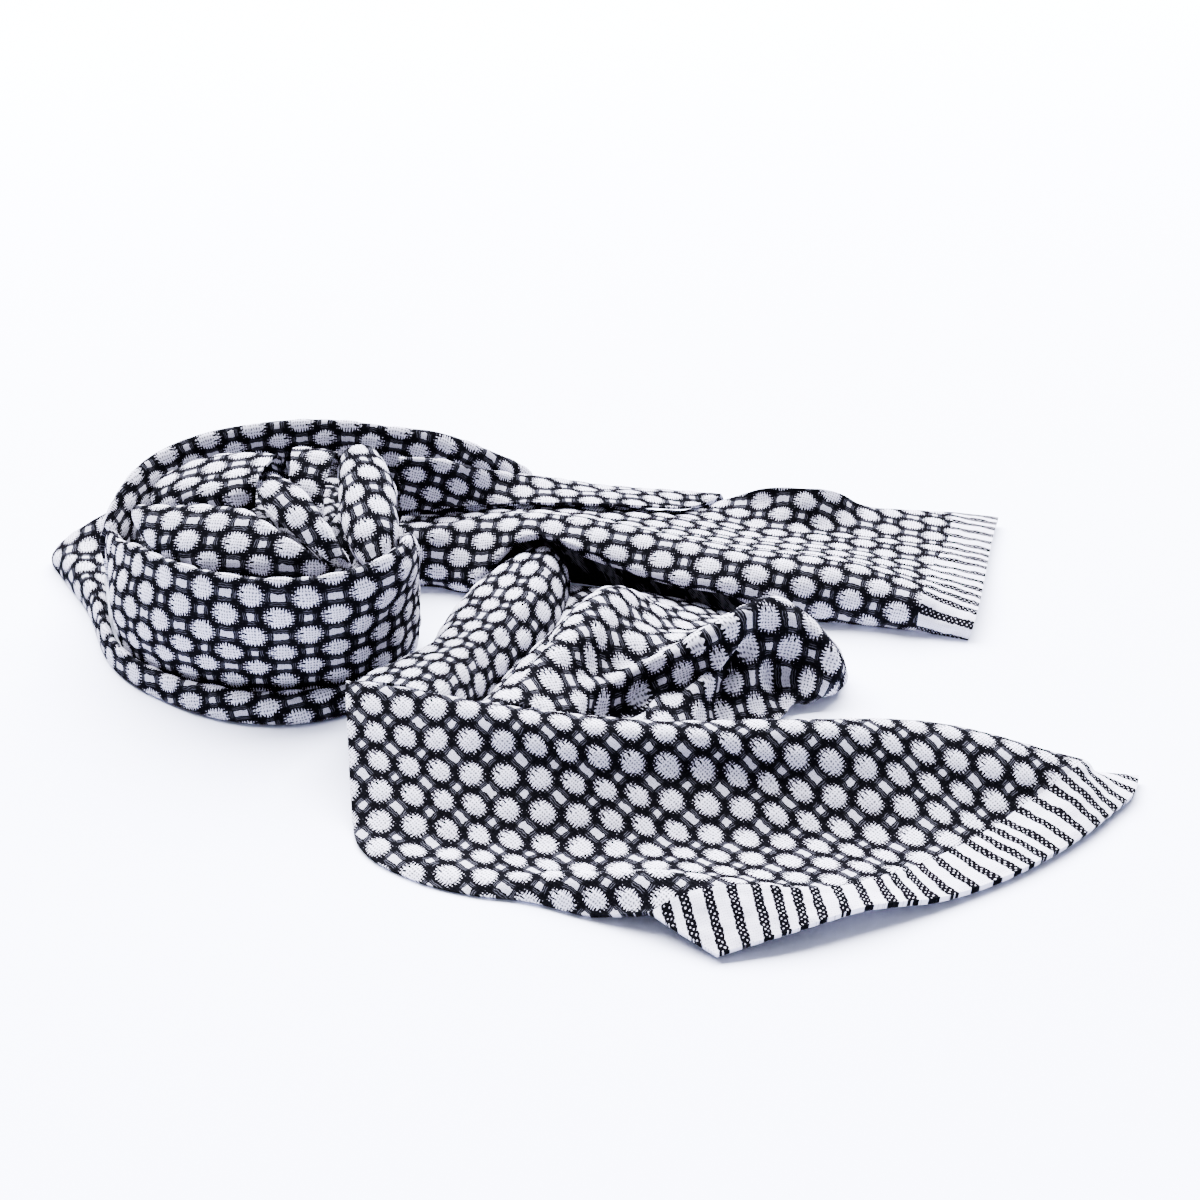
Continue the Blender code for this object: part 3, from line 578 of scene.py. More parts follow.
def sheetWithHem(names, nodes, lines, hemEdge, sizes):
    # one surface, cut into two pieces at a seam
    grid = loftLines(lines, sizes["along"], sizes["across"])
    steps = np.linspace(0.0, 1.0, hemColumns).reshape(1, -1, 1)
    band = grid[:, -1:] * (1 - steps) + guideCurve(hemEdge, len(grid))[:, None] * steps
    both = np.concatenate([grid, band[:, 1:]], axis=1)
    outer, inner, flat = clothSurface(both, clothWall, sizes["warp"], sizes["creases"], sizes["grow"])
    seamShare = (sizes["along"] - 1) / (sizes["along"] + hemColumns - 2)
    at = int(round(seamShare * (outer.shape[1] - 1)))
    hemFlat = turnHem(flat, at, sizes["bend"]) if sizes["bend"] else flat
    sheet = shellMesh(names[0], outer[:, :at + 1], inner[:, :at + 1], flat[:, :at + 1], clothWeave)
    hem = shellMesh(names[1], outer[:, at:], inner[:, at:], hemFlat[:, at:], hemWeave)
    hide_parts(nodes[0])
    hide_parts(nodes[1])
    return grid


layers = dict(
    depth=2.2,           # how far under the sheet's inner side their top lies, mm
    finer=4,
    rounds=15,           # of the flattening
    phase=(40.0, 30.0),
)


def layersUnder(name, node, grid, rows, columns, wall):
    # hidden layers under a sheet, with the weave darkened as painted shade on top and on down the sides
    top = innerSide(grid, wall + layers["depth"])[rows, columns]
    flat = layFlat(top, ((0.5, 0.5), None, layers["phase"]), layers["rounds"])
    size = (layers["finer"] * len(top), layers["finer"] * len(top[0]))
    fineTop, fineFlat = finer(top, *size), finer(flat, *size)
    foot = fineTop * [1, 1, 0]
    out = np.zeros(fineFlat.shape)
    out[0], out[-1], out[:, 0], out[:, -1] = (0, -1), (0, 1), (-1, 0), (1, 0)
    piece = shellMesh(name, fineTop, foot, fineFlat, layersInPaintedShade, fineFlat + out * fineTop[..., 2:])
    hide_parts(node)


# front panel and its hem

panelLines = {
    "selvedge": [(-71, -142, 1), (-69, -149, 1), (-52, -165, 1), (-35, -172, 1), (-20, -175, 1.2),
        (-5, -181, 1.5), (13, -186, 6)],
    "lip": [(-71.5, -139.5, 2.6), (-66, -147, 2.4), (-50, -161, 2.4), (-33, -168, 2.6), (-18, -170, 5),
        (0, -175, 9), (26, -182, 10.5)],
    "flat": [(-72, -136, 4.6), (-62, -147, 2.5), (-40, -159, 2.3), (-15, -163, 3), (12, -166, 5.5),
        (40, -172, 7), (62, -178, 8)],
    "foot": [(-73, -130, 8), (-57, -145, 2.8), (-28, -149, 2.5), (0, -150, 3), (28, -151, 3.6),
        (65, -151, 3.6), (95, -158, 3.6)],
    "slope": [(-75, -116, 16), (-57, -126, 13), (-24, -134, 12), (10, -137, 12), (45, -137, 12),
        (85, -136, 10), (122, -137, 5)],
    "ridge": [(-77, -101, 25), (-58, -106, 25.5), (-20, -118, 25.5), (21, -124, 25), (60, -121, 24),
        (101, -115, 19), (143, -121, 9.5)],
    "behind": [(-77, -100, 25), (-58, -105, 25.4), (-20, -113.5, 23.5), (21, -119.5, 23), (60, -116.5, 22),
        (101, -110.5, 17), (145, -117, 8)],
    "back": [(-77, -99, 24.8), (-58, -104, 25), (-20, -110, 12), (21, -116, 12), (60, -113, 12),
        (101, -107, 9), (146, -115, 4)],
    "tail": [(-77, -98.5, 24.6), (-58, -103.5, 24.6), (-20, -109.5, 2.6), (21, -115.5, 2.6),
        (60, -112.5, 2.6), (101, -106.5, 2.6), (146, -114.5, 2.6)],
}

# outer edge of the front hem from its lower left corner to the tip
frontHemEdge = [(30, -198.5, 2.6), (52, -192, 6), (69, -185, 7), (93, -176, 3.6), (124, -158, 3),
                (151, -134, 3), (161, -121, 3), (162, -117, 2.6)]

panelCreases = [
    ([(0.12, 0.73), (0.18, 0.71), (0.24, 0.68)], 5, -1.1),
    ([(0.38, 0.70), (0.50, 0.64), (0.64, 0.57)], 6, -1.3),
    ([(0.81, 0.65), (0.96, 0.64)], 5, -1.0),
    ([(0.06, 0.60), (0.13, 0.42), (0.20, 0.24)], 7, -1.0),
    ([(0.35, 0.57), (0.50, 0.46), (0.65, 0.36)], 9, 1.1),
    ([(0.32, 0.35), (0.50, 0.20), (0.68, 0.06)], 8, -1.1),
    ([(0.72, 0.50), (0.84, 0.40)], 8, -0.8)]

panel = dict(along=24, across=16, warp=((0.45, 0.22), (0.67, -0.74, 0.0), (56.0, 3.0)),
             grow=1.08, bend=[-30, -34, -30, -12, 0, 0, 0, 0], creases=panelCreases)

panelGrid = sheetWithHem(("panelCloth", "panelHem"), ("front_panel", "front_hem"),
                         panelLines, frontHemEdge, panel)
layersUnder("panelLayers", "front_panel_layers", panelGrid, slice(8, 13), slice(2, -2, 2), clothWall)
print("front panel made")


# rear strand and its hem

strandLines = {
    "tuck": [(-74, 11, 0.4), (-60, 10, 0.4), (-47, 4, 0.6), (-37, 8, 11), (-27, 11, 18.5), (-18, 9, 19),
        (-8, 6, 15.5), (8, 0, 12), (28, -10, 10.5), (46, -14, 9), (62, -18, 2.6), (78, -17, 0.4),
        (110, -23, 0.4)],
    "near edge": [(-74, 8, 4), (-60, 7, 4), (-47, 0, 4.5), (-37, 4, 13.5), (-27, 8, 21.5), (-18, 6, 22),
        (-8, 3, 18.5), (8, -3, 14.5), (28, -13, 13), (46, -17, 11.5), (62, -21, 5.5), (78, -20, 3),
        (110, -26, 3)],
    "near face": [(-74, 8.5, 11), (-60, 9, 11), (-47, 5, 12), (-28, 11, 23), (-8, 4, 20.5), (8, -3, 17.5),
        (28, -12, 16.5), (46, -17, 15), (62, -20, 10.5), (80, -20, 8), (110, -26, 6.5)],
    "crest": [(-74, 14, 20), (-60, 14, 20), (-48, 17, 21), (-29, 19, 24.5), (5, 12, 24), (33, -1, 22),
        (50, -9, 20.5), (70, -12, 18.5), (91, -14, 16), (112, -20, 12)],
    "plateau": [(-74, 24, 20), (-60, 24, 20), (-30, 28, 22), (5, 26, 20.5), (34, 19, 18), (53, 14, 16.5),
        (73, 13, 15), (95, 12, 13), (120, 6, 10)],
    "trough": [(-74, 30, 19.6), (-60, 30, 19.6), (-30, 36, 20), (5, 38, 18.2), (34, 41, 14.4), (55, 38, 12),
        (77, 37, 11.5), (100, 38, 9.5), (132, 36, 7)],
    "far slope": [(-74, 34, 17.5), (-60, 35, 17.5), (-30, 42, 18.8), (5, 46, 16.2), (34, 51, 12),
        (56, 54, 13), (77, 45, 17), (100, 49, 11), (138, 58, 6)],
    "selvedge": [(-74, 37, 15), (-60, 38, 15), (-30, 46, 16), (5, 52, 13.2), (36, 57, 10), (50, 60, 13),
        (66, 53, 21), (77, 50, 22), (90, 52, 20), (103, 56, 12), (120, 61, 8), (140, 65, 5)],
}

# outer edge of the rear hem from the near corner to the far one
rearHemEdge = [(128, -30, 0.4), (127.5, -33, 2.6), (129, -30, 5), (134, -16, 7), (140, 4, 6.5),
               (147, 28, 5.2), (153, 48, 4.6), (158, 63, 3.8)]

strandCreases = [
    ([(0.21, 0.07), (0.40, 0.15), (0.60, 0.21)], 5, -1.2),
    ([(0.55, 0.69), (0.75, 0.60), (0.95, 0.50)], 7, -1.5),
    ([(0.39, 0.85), (0.62, 0.82), (0.84, 0.75)], 5, -1.3),
    ([(0.78, 0.18), (0.97, 0.16)], 6, 1.0),
    ([(0.30, 0.45), (0.52, 0.42)], 8, -1.0),
    ([(0.62, 0.38), (0.86, 0.33)], 7, 1.0)]

strand = dict(along=28, across=14, warp=((0.5, 0.5), (1.0, -0.25, 0.0), (60.0, 3.0)),
              grow=1.0, bend=None, creases=strandCreases)

strandGrid = sheetWithHem(("strandCloth", "strandHem"), ("rear_strand", "rear_hem"),
                          strandLines, rearHemEdge, strand)
layersUnder("strandLayers", "rear_strand_layers", strandGrid, slice(3, 11), slice(1, -7), clothWall)
print("rear strand made")


# strand flap: the far selvedge of the lower layer, rolled forward

flapLines = {
    "selvedge": [(-74, 27, 23), (-60, 29, 23), (-48, 33, 22.6), (-38, 34.5, 23), (-14, 35, 22.8),
        (15, 39, 20), (34, 48, 15.2), (46, 60.5, 13.1)],
    "shoulder": [(-74, 28.5, 34), (-60, 31, 32), (-47, 35.5, 28), (-37, 40.5, 26), (-18, 45, 24),
        (12, 52, 19.4), (32, 58, 15.4), (47, 63, 13.6)],
    "crest": [(-74, 31, 43), (-60, 34, 41), (-47, 38.5, 36), (-37, 46, 30.5), (-22, 59, 23), (2, 67, 15.5),
        (28, 69, 12.5), (48, 65.5, 12.4)],
    "back": [(-74, 34, 40), (-60, 37.5, 37.5), (-47, 42.5, 32), (-37, 49.5, 26), (-20, 64, 17), (4, 72, 10),
        (28, 73, 8), (49, 67.5, 10)],
    "tail": [(-74, 35, 29), (-60, 39, 27), (-47, 44, 25), (-37, 51, 21), (-18, 67, 9), (5, 74, 3),
        (28, 74.5, 3), (50, 69, 5)],
}

# middle strand: out from under the rear strand and over into the panel

middleLines = {
    "left foot": [(-34, 14, 1), (-42, 2, 1), (-49, -9, 1), (-54, -24, 1), (-57, -38, 1), (-60, -54, 1),
        (-66, -70, 1), (-72, -85, 1), (-75, -97, 1)],
    "left side": [(-31, 14, 9), (-39, 2, 10), (-46, -9, 8.5), (-51, -24, 8.5), (-54, -38, 9), (-57, -54, 11),
        (-63, -68, 14), (-71, -83, 18), (-76.5, -98, 22)],
    "left crest": [(-26, 14, 14), (-32, 2, 15.5), (-39, -12, 14), (-44, -26, 13.5), (-48, -40, 14),
        (-52, -54, 15.5), (-59, -68, 18.5), (-66, -83, 22), (-73, -99.4, 24.8)],
    "crease": [(-22, 14, 15), (-24, 2, 17), (-28, -10, 15.5), (-34, -26, 14.2), (-40, -38, 14),
        (-47, -52, 15), (-54, -66, 17.5), (-60, -81, 21.5), (-66.5, -100.6, 25.4)],
    "right crest": [(-18, 13, 14.5), (-18.5, 2, 16.8), (-20, -9, 16), (-23, -22, 15), (-29, -36, 14.5),
        (-36, -50, 15), (-43, -66, 17.5), (-50, -84, 22), (-58, -103, 25.4)],
    "right side": [(-13, 12, 9), (-13, 1, 10), (-14.5, -10, 9), (-17, -23, 8), (-23, -37, 8), (-30, -51, 9),
        (-37, -67, 12), (-43, -85, 17), (-50, -104, 22)],
    "right foot": [(-11, 13.2, 1), (-11.2, 1, 1), (-13, -11, 1), (-15.5, -24, 1), (-21.5, -37.5, 1),
        (-28.5, -52, 1), (-35.5, -68, 2), (-41, -86.5, 6), (-47.5, -104.5, 12)],
}

# heap: bunched up between the strands and the panel

heapLines = {
    "front foot": [(-44, -102.5, 11), (-24, -105.5, 20.5), (-10, -107.5, 16), (0, -108.5, 8), (8, -109, 5),
        (18, -109, 9), (30, -109, 5), (46, -109, 3), (56, -107, 3)],
    "front": [(-41, -95, 10), (-21, -98.5, 21), (-8, -101.5, 17), (4, -102, 8), (10, -101.5, 6.5),
        (19, -99, 10), (29, -94, 7), (40, -88, 4.5), (50, -84, 3.6), (56, -88, 3)],
    "front ridge": [(-38.5, -86, 8.5), (-17.5, -90, 22), (-5, -93, 18), (6, -94, 9.5), (14, -92, 9.5),
        (25, -89, 12), (35, -82, 13), (43, -79, 12), (50, -78, 9), (56, -79.5, 5.5), (59, -83, 3)],
    "deep": [(-36, -77, 6), (-13.5, -81.5, 23), (-2, -86, 19), (9, -88, 12), (18, -84, 11), (28, -80, 13),
        (38, -77, 15), (47, -74.5, 16), (54, -73, 14), (60, -73, 9.5), (63.5, -75, 6), (61, -79, 3.4)],
    "under the ridge": [(-33, -66, 4.5), (-9.5, -72, 24.3), (2, -78, 20), (10, -81.5, 17), (19, -80, 17),
        (29, -77.5, 19.5), (40, -75.5, 23), (49, -71.5, 25), (57, -68, 23.5), (65, -68, 18), (70, -71, 11),
        (68.5, -75, 5.5), (63, -77.5, 3.4)],
    "long ridge": [(-29.5, -56, 4), (-6, -63.5, 25.5), (5, -70, 21), (15, -74, 21), (27, -75, 24.5),
        (38, -73, 29), (46, -68.5, 31.5), (54, -63, 32), (62, -62, 28.5), (70, -65, 21.5), (75, -67.5, 13.5),
        (73.5, -72, 6.5), (67, -76, 2.4)],
    "behind the ridge": [(-24, -45.5, 3.5), (-2, -54, 26), (9, -60, 20.5), (18, -63.5, 20), (30, -64.5, 23),
        (40, -63.5, 27), (48, -59.5, 30), (56, -55, 30.5), (65, -55, 26.5), (74, -59, 19), (79.5, -63, 11),
        (78.5, -68, 5.5), (72, -73.5, 3.4)],
    "valley": [(-18, -35.5, 3.5), (3, -44, 25.5), (13, -47.5, 18.5), (23, -49.5, 15), (34, -50, 15.5),
        (44, -48.5, 18), (54, -45.5, 20), (64, -45, 17.5), (74, -50, 12), (81, -59.5, 6.5), (80.5, -65, 4),
        (77, -70, 3)],
    "back slope": [(-14.6, -22, 3), (8, -31, 21.5), (18, -33, 15.5), (28, -34.5, 12), (40, -35, 11),
        (52, -34.5, 10.5), (64, -36.5, 9), (74, -43, 6), (79.5, -52, 4.5), (82, -58, 3.6)],
    "back": [(-11.8, -8, 3), (9, -12, 9.5), (22, -15, 8.5), (34, -18, 7), (46, -23, 5), (57, -27, 4),
        (66, -33, 3.2), (73, -41, 3), (77, -49, 3)],
    "tail": [(-10.6, 6, 3), (10, 1, 3.8), (24, -4, 3.8), (36, -9, 3.4), (47, -15, 3), (56, -21, 2.6),
        (64, -29, 2.4), (71, -37, 2.4)],
}

# folds drawn over the heap's guide lines
heapCreases = [
    ([(0.52, 0.36), (0.46, 0.29), (0.43, 0.20), (0.40, 0.10)], 5.0, -8.0),  # dark valley in front
    ([(0.66, 0.47), (0.56, 0.43), (0.48, 0.42), (0.38, 0.38)], 3.5, 2.6),  # long ridge
    ([(0.43, 0.54), (0.35, 0.42), (0.32, 0.26)], 6.0, -6.0),  # behind it
    ([(0.25, 0.62), (0.25, 0.36), (0.23, 0.24), (0.18, 0.06)], 6.5, 3.2),  # left hump
    ([(0.12, 0.48), (0.12, 0.32), (0.09, 0.08)], 5.0, -4.0),
    ([(0.73, 0.40), (0.77, 0.24), (0.80, 0.08)], 3.4, -5.5),  # upright folds
    ([(0.66, 0.38), (0.70, 0.20), (0.72, 0.06)], 3.0, 2.6),
    ([(0.53, 0.42), (0.52, 0.31), (0.57, 0.12)], 3.0, 3.6),  # front ridge
    ([(0.84, 0.36), (0.88, 0.28), (0.93, 0.22)], 6.5, -8.0),  # hollow of the right loop
    ([(0.80, 0.47), (0.89, 0.47), (0.97, 0.46)], 3.5, 2.4),  # its rim
    ([(0.62, 0.62), (0.74, 0.74), (0.80, 0.86)], 5.0, -1.6),
    ([(0.30, 0.80), (0.42, 0.90)], 5.0, -1.4),
]

# coil

coilCentre = (-108.0, -20.0)

# angle, foot, belly and top radius, height
mainWall = [
    (172.5, 64, 64.5, 64.5, 34.5), (185, 60, 61.5, 58, 37), (202, 58, 59.5, 52, 42),
    (225, 55, 57, 50, 45), (250, 53.5, 55.5, 51.5, 46.5), (275, 53.5, 56, 55.5, 47),
    (300, 55, 57.5, 59.5, 48), (318, 53, 55.5, 58.5, 49), (332, 49, 51, 53, 47.5),
    (345, 46.5, 47.5, 47.5, 43), (357, 42, 42.5, 42, 37), (370, 38, 38, 37, 32),
]

# top of the fold: x, y, z, how far its foot stands out, and the thickness of the fold
outerTurn = [
    (-27, 65.3, 22.8, 3, 7.5), (-33, 63, 28, 5, 7), (-40, 58, 33.5, 7, 7), (-50, 53.5, 40, 8, 8),
    (-62, 49, 46, 8, 8), (-78, 45, 49.5, 6, 8), (-96, 45, 52, 5, 8), (-112, 46, 52, 5, 8),
    (-130, 44, 51, 5, 8), (-148, 39, 49, 5, 8), (-163, 27, 46, 5, 8), (-169, 12, 43, 3, 7),
    (-171.5, -1, 39, 1, 6), (-172.2, -10.5, 35, 0, 5),
]

# angle, outer radius, crest radius, crest height, inner radius
baseTurn = [
    (137, 97, 93, 21, 85), (143, 101, 96, 18.5, 85), (147.5, 109, 101, 14.5, 85),
    (152, 113.5, 103, 9.5, 83), (157, 103, 94, 9.5, 79), (162, 92, 86, 9.5, 75.5),
    (169, 80.5, 77, 9.8, 70), (180, 71, 68.5, 10, 64.5), (190, 67, 65.2, 10, 62),
    (203, 64.5, 62.8, 9.5, 60.2), (220, 62.5, 60.8, 9, 57.6), (235, 61.5, 59.4, 9, 55.8),
    (250, 63, 60, 9, 55.3), (265, 65.3, 61, 8.6, 55.2), (280, 66.8, 62, 8.5, 55.6),
    (296, 65.5, 61.5, 8.5, 57), (312, 63.3, 60.5, 8, 56.5),
]


def ringLine(angle, radius, height):
    turn = np.radians(angle)
    return np.column_stack([coilCentre[0] + radius * np.cos(turn), coilCentre[1] + radius * np.sin(turn),
                            np.broadcast_to(height, radius.shape)])


def mainWallLines():
    angle, foot, belly, top, height = np.array(mainWall, float).T
    return {
        "foot": ringLine(angle, foot, 0.0),
        "low": ringLine(angle, foot + 1.2, 8.0),
        "belly": ringLine(angle, belly, 0.5 * height),
        "high": ringLine(angle, top + 0.6, height - 5),
        "crest": ringLine(angle, top - 2.2, height),
        "lip": ringLine(angle, top - 4.6, height - 2.4),
        "inner": ringLine(angle, top - 5.2, height - 8),
    }


def outerTurnLines():
    rows = np.array(outerTurn, float)
    top, reach, fold = rows[:, :3], rows[:, 3:4], rows[:, 4:5]
    way = np.gradient(top[:, :2], axis=0)
    way /= np.linalg.norm(way, axis=1, keepdims=True)
    outward = np.column_stack([way[:, 1], -way[:, 0], np.zeros(len(top))])
    height = top[:, 2:]
    up = np.array([[0.0, 0.0, 1.0]])
    ground = top * [1, 1, 0]
    return {
        "foot": ground + outward * (fold * 0.5 + reach) + up,
        "low": ground + outward * (fold * 0.5 + reach * 0.6) + up * height * 0.5,
        "high": ground + outward * fold * 0.5 + up * (height - 5),
        "crest": top + outward * fold * 0.15,
        "lip": ground - outward * fold * 0.35 + up * (height - 2.0),
        "inner": ground - outward * fold * 0.5 + up * height * 0.76,
        "end": ground - outward * fold * 0.35 + up * height * 0.5,
    }


def baseTurnLines():
    angle, outer, crest, height, inner = np.array(baseTurn, float).T
    return {
        "outer": ringLine(angle, outer, 1.0),
        "side": ringLine(angle, outer - 0.5, 0.45 * height),
        "crest": ringLine(angle, crest, height),
        "inner": ringLine(angle, 0.4 * crest + 0.6 * inner, height - 0.4),
        "end": ringLine(angle, inner, height - 2.0),
    }


innerWrapLines = {
    "foot": [(-149, -35, 36), (-142, -45, 36), (-127, -56.5, 36), (-108, -61.5, 37), (-93, -61.5, 38),
        (-86, -59, 39)],
    "low": [(-153, -37, 46), (-144, -49, 46), (-128.5, -59, 46.5), (-109, -64, 47), (-95, -65, 47),
        (-86.5, -63.5, 46)],
    "face": [(-155, -34.5, 50), (-144.5, -44, 51), (-129, -52, 53), (-112, -56.5, 54), (-98, -62, 51.5),
        (-88.5, -64, 48.5)],
    "top": [(-154, -31.5, 52.5), (-142.5, -38, 55), (-127, -43, 57.5), (-115, -47, 58), (-103, -55.5, 55),
        (-92.5, -61, 50)],
    "back": [(-151, -28, 50), (-140, -34.5, 52), (-126, -39, 54), (-115, -44, 53.5), (-105, -51, 50),
        (-95, -57, 45.5)],
}

topFoldLines = {
    "foot": [(-149, -29, 46), (-139, -31, 47), (-126, -35, 49), (-119, -35, 51), (-114, -33, 52)],
    "low": [(-150, -27, 52), (-140, -30.5, 55), (-127, -36, 57.5), (-119, -35, 59.5), (-113, -31, 61)],
    "middle": [(-150, -20, 55), (-140, -21, 58.5), (-128, -23, 61), (-118, -22, 62.5), (-111, -20, 63)],
    "crest": [(-148, -11, 55), (-139, -10, 59), (-127, -10, 61.5), (-117, -11, 62.5), (-109, -13, 62.5)],
    "back": [(-146, -4, 50), (-138, -2, 54), (-126, -1, 56), (-116, -3, 57), (-108, -7, 57)],
    "tail": [(-145, -1, 40), (-137, 2, 44), (-126, 3, 44), (-115, 1, 44), (-108, -3, 44)],
}

ridgeRollLines = {
    "foot": [(-111.5, -40, 59.5), (-108, -46.5, 57.5), (-100, -54.5, 55), (-92, -60.5, 51),
        (-86, -63, 47.5)],
    "left face": [(-110, -37, 62.5), (-104.5, -43.5, 62), (-96.5, -52, 58.5), (-88.5, -59.5, 53),
        (-83.5, -62.5, 48.5)],
    "crest": [(-108, -33, 64), (-101, -40, 63.5), (-93, -50, 60), (-85, -59, 53.5), (-80.5, -62, 48)],
    "right side": [(-105.5, -30, 62), (-98, -37.5, 61.5), (-90, -48, 57.5), (-83.5, -57, 51.5),
        (-79.5, -60, 45.5)],
    "low": [(-105, -29, 55), (-97.5, -36, 53), (-90.5, -46, 49), (-84.5, -55, 45.5), (-80.5, -57.5, 41)],
}

innerRimLines = {
    "foot": [(-104.5, -22, 44), (-98, -27, 40), (-93, -32, 36)],
    "face": [(-105, -18, 55), (-98.5, -22, 53), (-93, -26, 48)],
    "high": [(-105.5, -10, 60), (-98.5, -13, 59), (-92.5, -16, 56)],
    "top": [(-106, -1, 60.5), (-98, -3, 61), (-90, -6, 61)],
    "back": [(-105, 3, 55), (-97, 3, 55), (-89.4, 0, 54)],
}

rightFoldLines = {
    "hole side": [(-89, -2, 38), (-85, -20, 36), (-81, -38, 36), (-77, -50, 37), (-74.5, -55, 38)],
    "hole edge": [(-89.5, -4, 58.5), (-86.5, -22, 57), (-83, -40, 53), (-77.5, -54, 49), (-74, -59, 45.5)],
    "crest": [(-84, -4, 62.5), (-79, -23, 61), (-74, -41, 56.5), (-70.5, -53, 51.5), (-69.5, -57.5, 46.5)],
    "outer side": [(-78, 1, 59), (-71.5, -18, 57.5), (-68.5, -35, 54), (-67, -46, 51.3),
        (-68, -53.5, 45.5)],
    "outer low": [(-77, 3, 38), (-72, -14, 36), (-69.5, -27, 37), (-68.5, -38, 38.5), (-69.5, -48, 38)],
}

middleCreases = [
    ([(0.29, 0.73), (0.56, 0.73), (0.93, 0.83)], 4, -1.3),
    ([(0.15, 0.30), (0.45, 0.28)], 5, 0.9),
    ([(0.55, 0.25), (0.74, 0.28), (0.92, 0.36)], 4, -1.2)]
wallCreases = [
    ([(0.20, 0.25), (0.30, 0.60)], 6, -1.0),
    ([(0.45, 0.30), (0.55, 0.62)], 9, 0.8),
    ([(0.70, 0.20), (0.78, 0.55)], 7, -0.9),
    ([(0.88, 0.30), (0.93, 0.60)], 6, 0.7)]
outerCreases = [
    ([(0.15, 0.15), (0.24, 0.40)], 7, -1.0),
    ([(0.45, 0.12), (0.52, 0.42)], 9, 0.9),
    ([(0.72, 0.10), (0.80, 0.40)], 8, -1.0)]

# piece, node, guide lines, points along and across, wall, warp at a spot, creases
stretches = [
    ("flapCloth", "strand_flap", flapLines, 22, 9, fineWall,
     ((0.5, 0.4), (1.0, 0.15, 0.0), (50.0, 3.0)), [([(0.45, 0.35), (0.75, 0.42)], 5, -0.9)]),
    ("middleCloth", "middle_strand", middleLines, 17, 14, clothWall,
     ((0.5, 0.45), (-0.3, -1.0, 0.0), (70.0, 3.0)), middleCreases),
    ("heapCloth", "heap", heapLines, 32, 22, fineWall,
     ((0.55, 0.35), (0.25, -1.0, 0.0), (80.0, 3.0)), heapCreases),
    ("coilWallCloth", "coil_main_wall", mainWallLines(), 30, 11, clothWall,
     ((0.5, 0.4), (1.0, 0.0, 0.0), (60.0, 3.0)), wallCreases),
    ("coilOuterCloth", "coil_outer_turn", outerTurnLines(), 26, 10, clothWall,
     ((0.5, 0.4), (-1.0, 0.0, 0.0), (60.0, 3.0)), outerCreases),
    ("coilBaseCloth", "coil_base_turn", baseTurnLines(), 26, 7, fineWall,
     ((0.5, 0.5), (0.7, -0.7, 0.0), (50.0, 3.0)), []),
    ("coilWrapCloth", "coil_inner_wrap", innerWrapLines, 16, 8, fineWall,
     ((0.5, 0.5), (1.0, -0.2, 0.0), (50.0, 3.0)), []),
    ("coilTopCloth", "coil_top_fold", topFoldLines, 12, 9, fineWall,
     ((0.5, 0.5), (1.0, 0.0, 0.0), (50.0, 3.0)), []),
    ("coilRidgeCloth", "coil_ridge_roll", ridgeRollLines, 10, 8, fineWall,
     ((0.5, 0.5), (0.7, -0.7, 0.0), (50.0, 3.0)), []),
    ("coilRimCloth", "coil_inner_rim", innerRimLines, 7, 8, fineWall,
     ((0.5, 0.5), (1.0, -0.2, 0.0), (50.0, 3.0)), []),
    ("coilRightCloth", "coil_right_fold", rightFoldLines, 12, 9, fineWall,
     ((0.5, 0.5), (0.4, -1.0, 0.0), (50.0, 3.0)), []),
]

grids = {}
for name, node, lines, along, across, wall, warp, creases in stretches:
    grids[node] = loftLines(lines, along, across)
    piece = shellMesh(name, *clothSurface(grids[node], wall, warp, creases), clothWeave)
    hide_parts(node)
    print(name, "made")

heapDrop = 2.0  # the heap's creases are deep, so its layers lie lower
layersUnder("middleLayers", "middle_strand_layers", grids["middle_strand"], slice(3, 11), slice(1, -1, 2),
            clothWall)
layersUnder("heapLayers", "heap_layers", grids["heap"], slice(12, 20), slice(2, 22, 2), fineWall + heapDrop)


# hidden turns inside the coil

drum = dict(centre=coilCentre, height=37.0,
            hollow=(-91.0, -30.0, 10.0, 20.0, 18.0),  # x, y, half width, half length, depth
            turns=(9.0, 1.5),                         # spacing and depth of the wound layers' edges on top
            rimDrop=4.0, spiral=0.02, rings=56, hub=0.02, run=0.8)

# angle and radius of its outline
drumOutline = [(10, 28.6), (20, 32), (35, 36), (45, 42), (60, 55), (75, 60), (90, 59), (105, 58), (120, 59),
               (135, 61), (150, 58.5), (165, 56), (175, 53), (185, 48), (202, 43), (225, 42), (250, 43.8),
               (275, 47.8), (300, 51.2), (318, 50), (332, 44.6), (345, 39.4), (357, 33.9)]


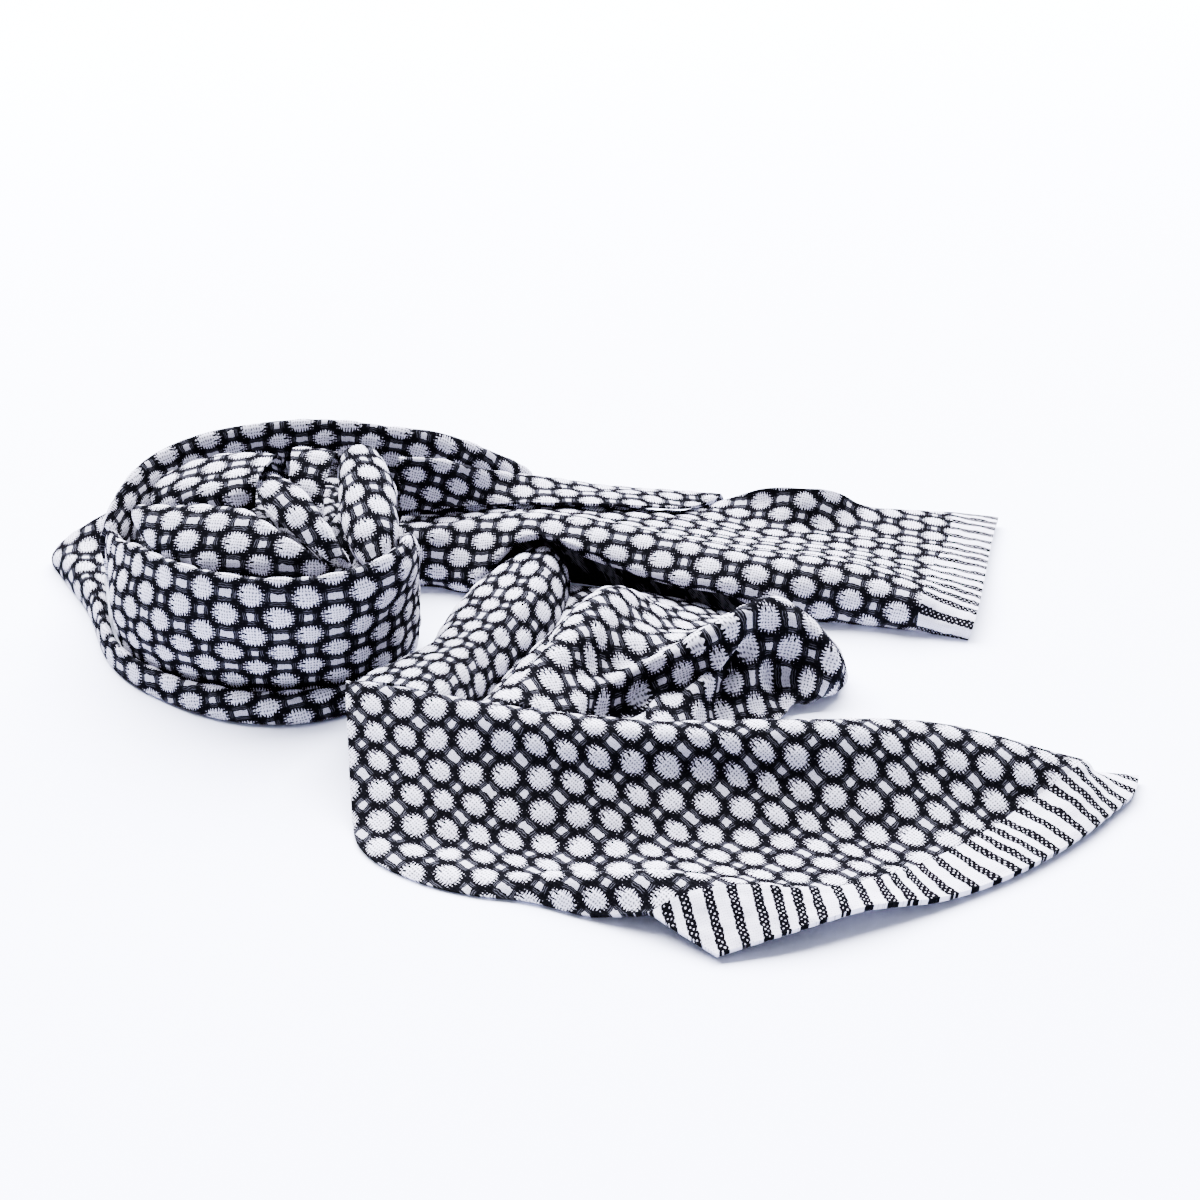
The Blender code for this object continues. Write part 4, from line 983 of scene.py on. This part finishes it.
def makeDrum():
    turns = np.arange(0.0, 361.0, 4.0)
    angles, radii = np.array(drumOutline, float).T
    radius = np.interp(turns, angles, radii, period=360.0)
    rings = np.linspace(1.0, drum["hub"], drum["rings"])[:, None]
    x = drum["centre"][0] + radius * rings * np.cos(np.radians(turns))
    y = drum["centre"][1] + radius * rings * np.sin(np.radians(turns))
    hollowX, hollowY, halfWidth, halfLength, depth = drum["hollow"]
    away = ((x - hollowX) / halfWidth) ** 2 + ((y - hollowY) / halfLength) ** 2
    spacing, groove = drum["turns"]
    wound = np.abs(np.sin(np.pi * (radius * (1 - rings) + drum["spiral"] * turns) / spacing))
    rim = drum["rimDrop"] * rings**6
    z = drum["height"] - rim - depth * np.exp(-away) - groove * (1 - wound) ** 2
    top = np.stack([x, y, z], axis=-1)
    foot = top * [1, 1, 0]
    # the weave runs round the turns
    across = radius * rings
    around = np.broadcast_to(drum["run"] * np.radians(turns) * radius, across.shape)
    flat = np.stack([across, around], axis=-1)
    # the coil's hidden turns take the weave darkened as painted shade
    piece = shellMesh("coilLayers", top[:, ::-1], foot[:, ::-1], flat[:, ::-1], coilLayersInPaintedShade)
    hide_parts("coil_layers")


makeDrum()
print("layers made")


# floor, light and camera

def linked(name, data):
    thing = bpy.data.objects.new(name, data)
    bpy.context.scene.collection.objects.link(thing)
    return thing


def lookAt(thing, spot, aim):
    thing.location = spot
    thing.rotation_euler = (Vector(aim) - Vector(spot)).to_track_quat("-Z", "Y").to_euler()


floorLook = bpy.data.materials.new("paleFloor")
floorLook.use_nodes = True
floorShader = floorLook.node_tree.nodes["Principled BSDF"]
floorShader.inputs["Base Color"].default_value = (0.76, 0.79, 0.95, 1.0)
floorShader.inputs["Roughness"].default_value = 0.8
floorMesh = bpy.data.meshes.new("floor")
floorMesh.from_pydata([(-6, -6, 0), (6, -6, 0), (6, 8, 0), (-6, 8, 0)], [], [(0, 1, 2, 3)])
floorMesh.materials.append(floorLook)
linked("floor", floorMesh)

light = dict(place=(-0.4, 2.4, 2.8), aim=(0.0, 0.2, 0.0), size=(6.0, 3.2), power=3800.0,
             colour=(0.94, 0.94, 1.0), sky=(0.82, 0.85, 1.0), skyStrength=0.7)

lampData = bpy.data.lights.new("softLight", "AREA")
lampData.shape = "RECTANGLE"
lampData.size, lampData.size_y = light["size"]
lampData.energy = light["power"]
lampData.color = light["colour"]
lookAt(linked("softLight", lampData), light["place"], light["aim"])

world = bpy.data.worlds.new("studio")
bpy.context.scene.world = world
world.use_nodes = True
sky = world.node_tree.nodes["Background"]
sky.inputs[0].default_value = (*light["sky"], 1.0)
sky.inputs[1].default_value = light["skyStrength"]

view = dict(place=(0.0224, -0.4681, 0.2817), tilt=62, lens=49.5, sensor=36.0)

cameraData = bpy.data.cameras.new("camera")
cameraData.lens = view["lens"]
cameraData.sensor_width = view["sensor"]
camera = linked("camera", cameraData)
camera.location = view["place"]
camera.rotation_euler = (math.radians(view["tilt"]), 0.0, 0.0)
bpy.context.scene.camera = camera
print("stage, light and camera made")
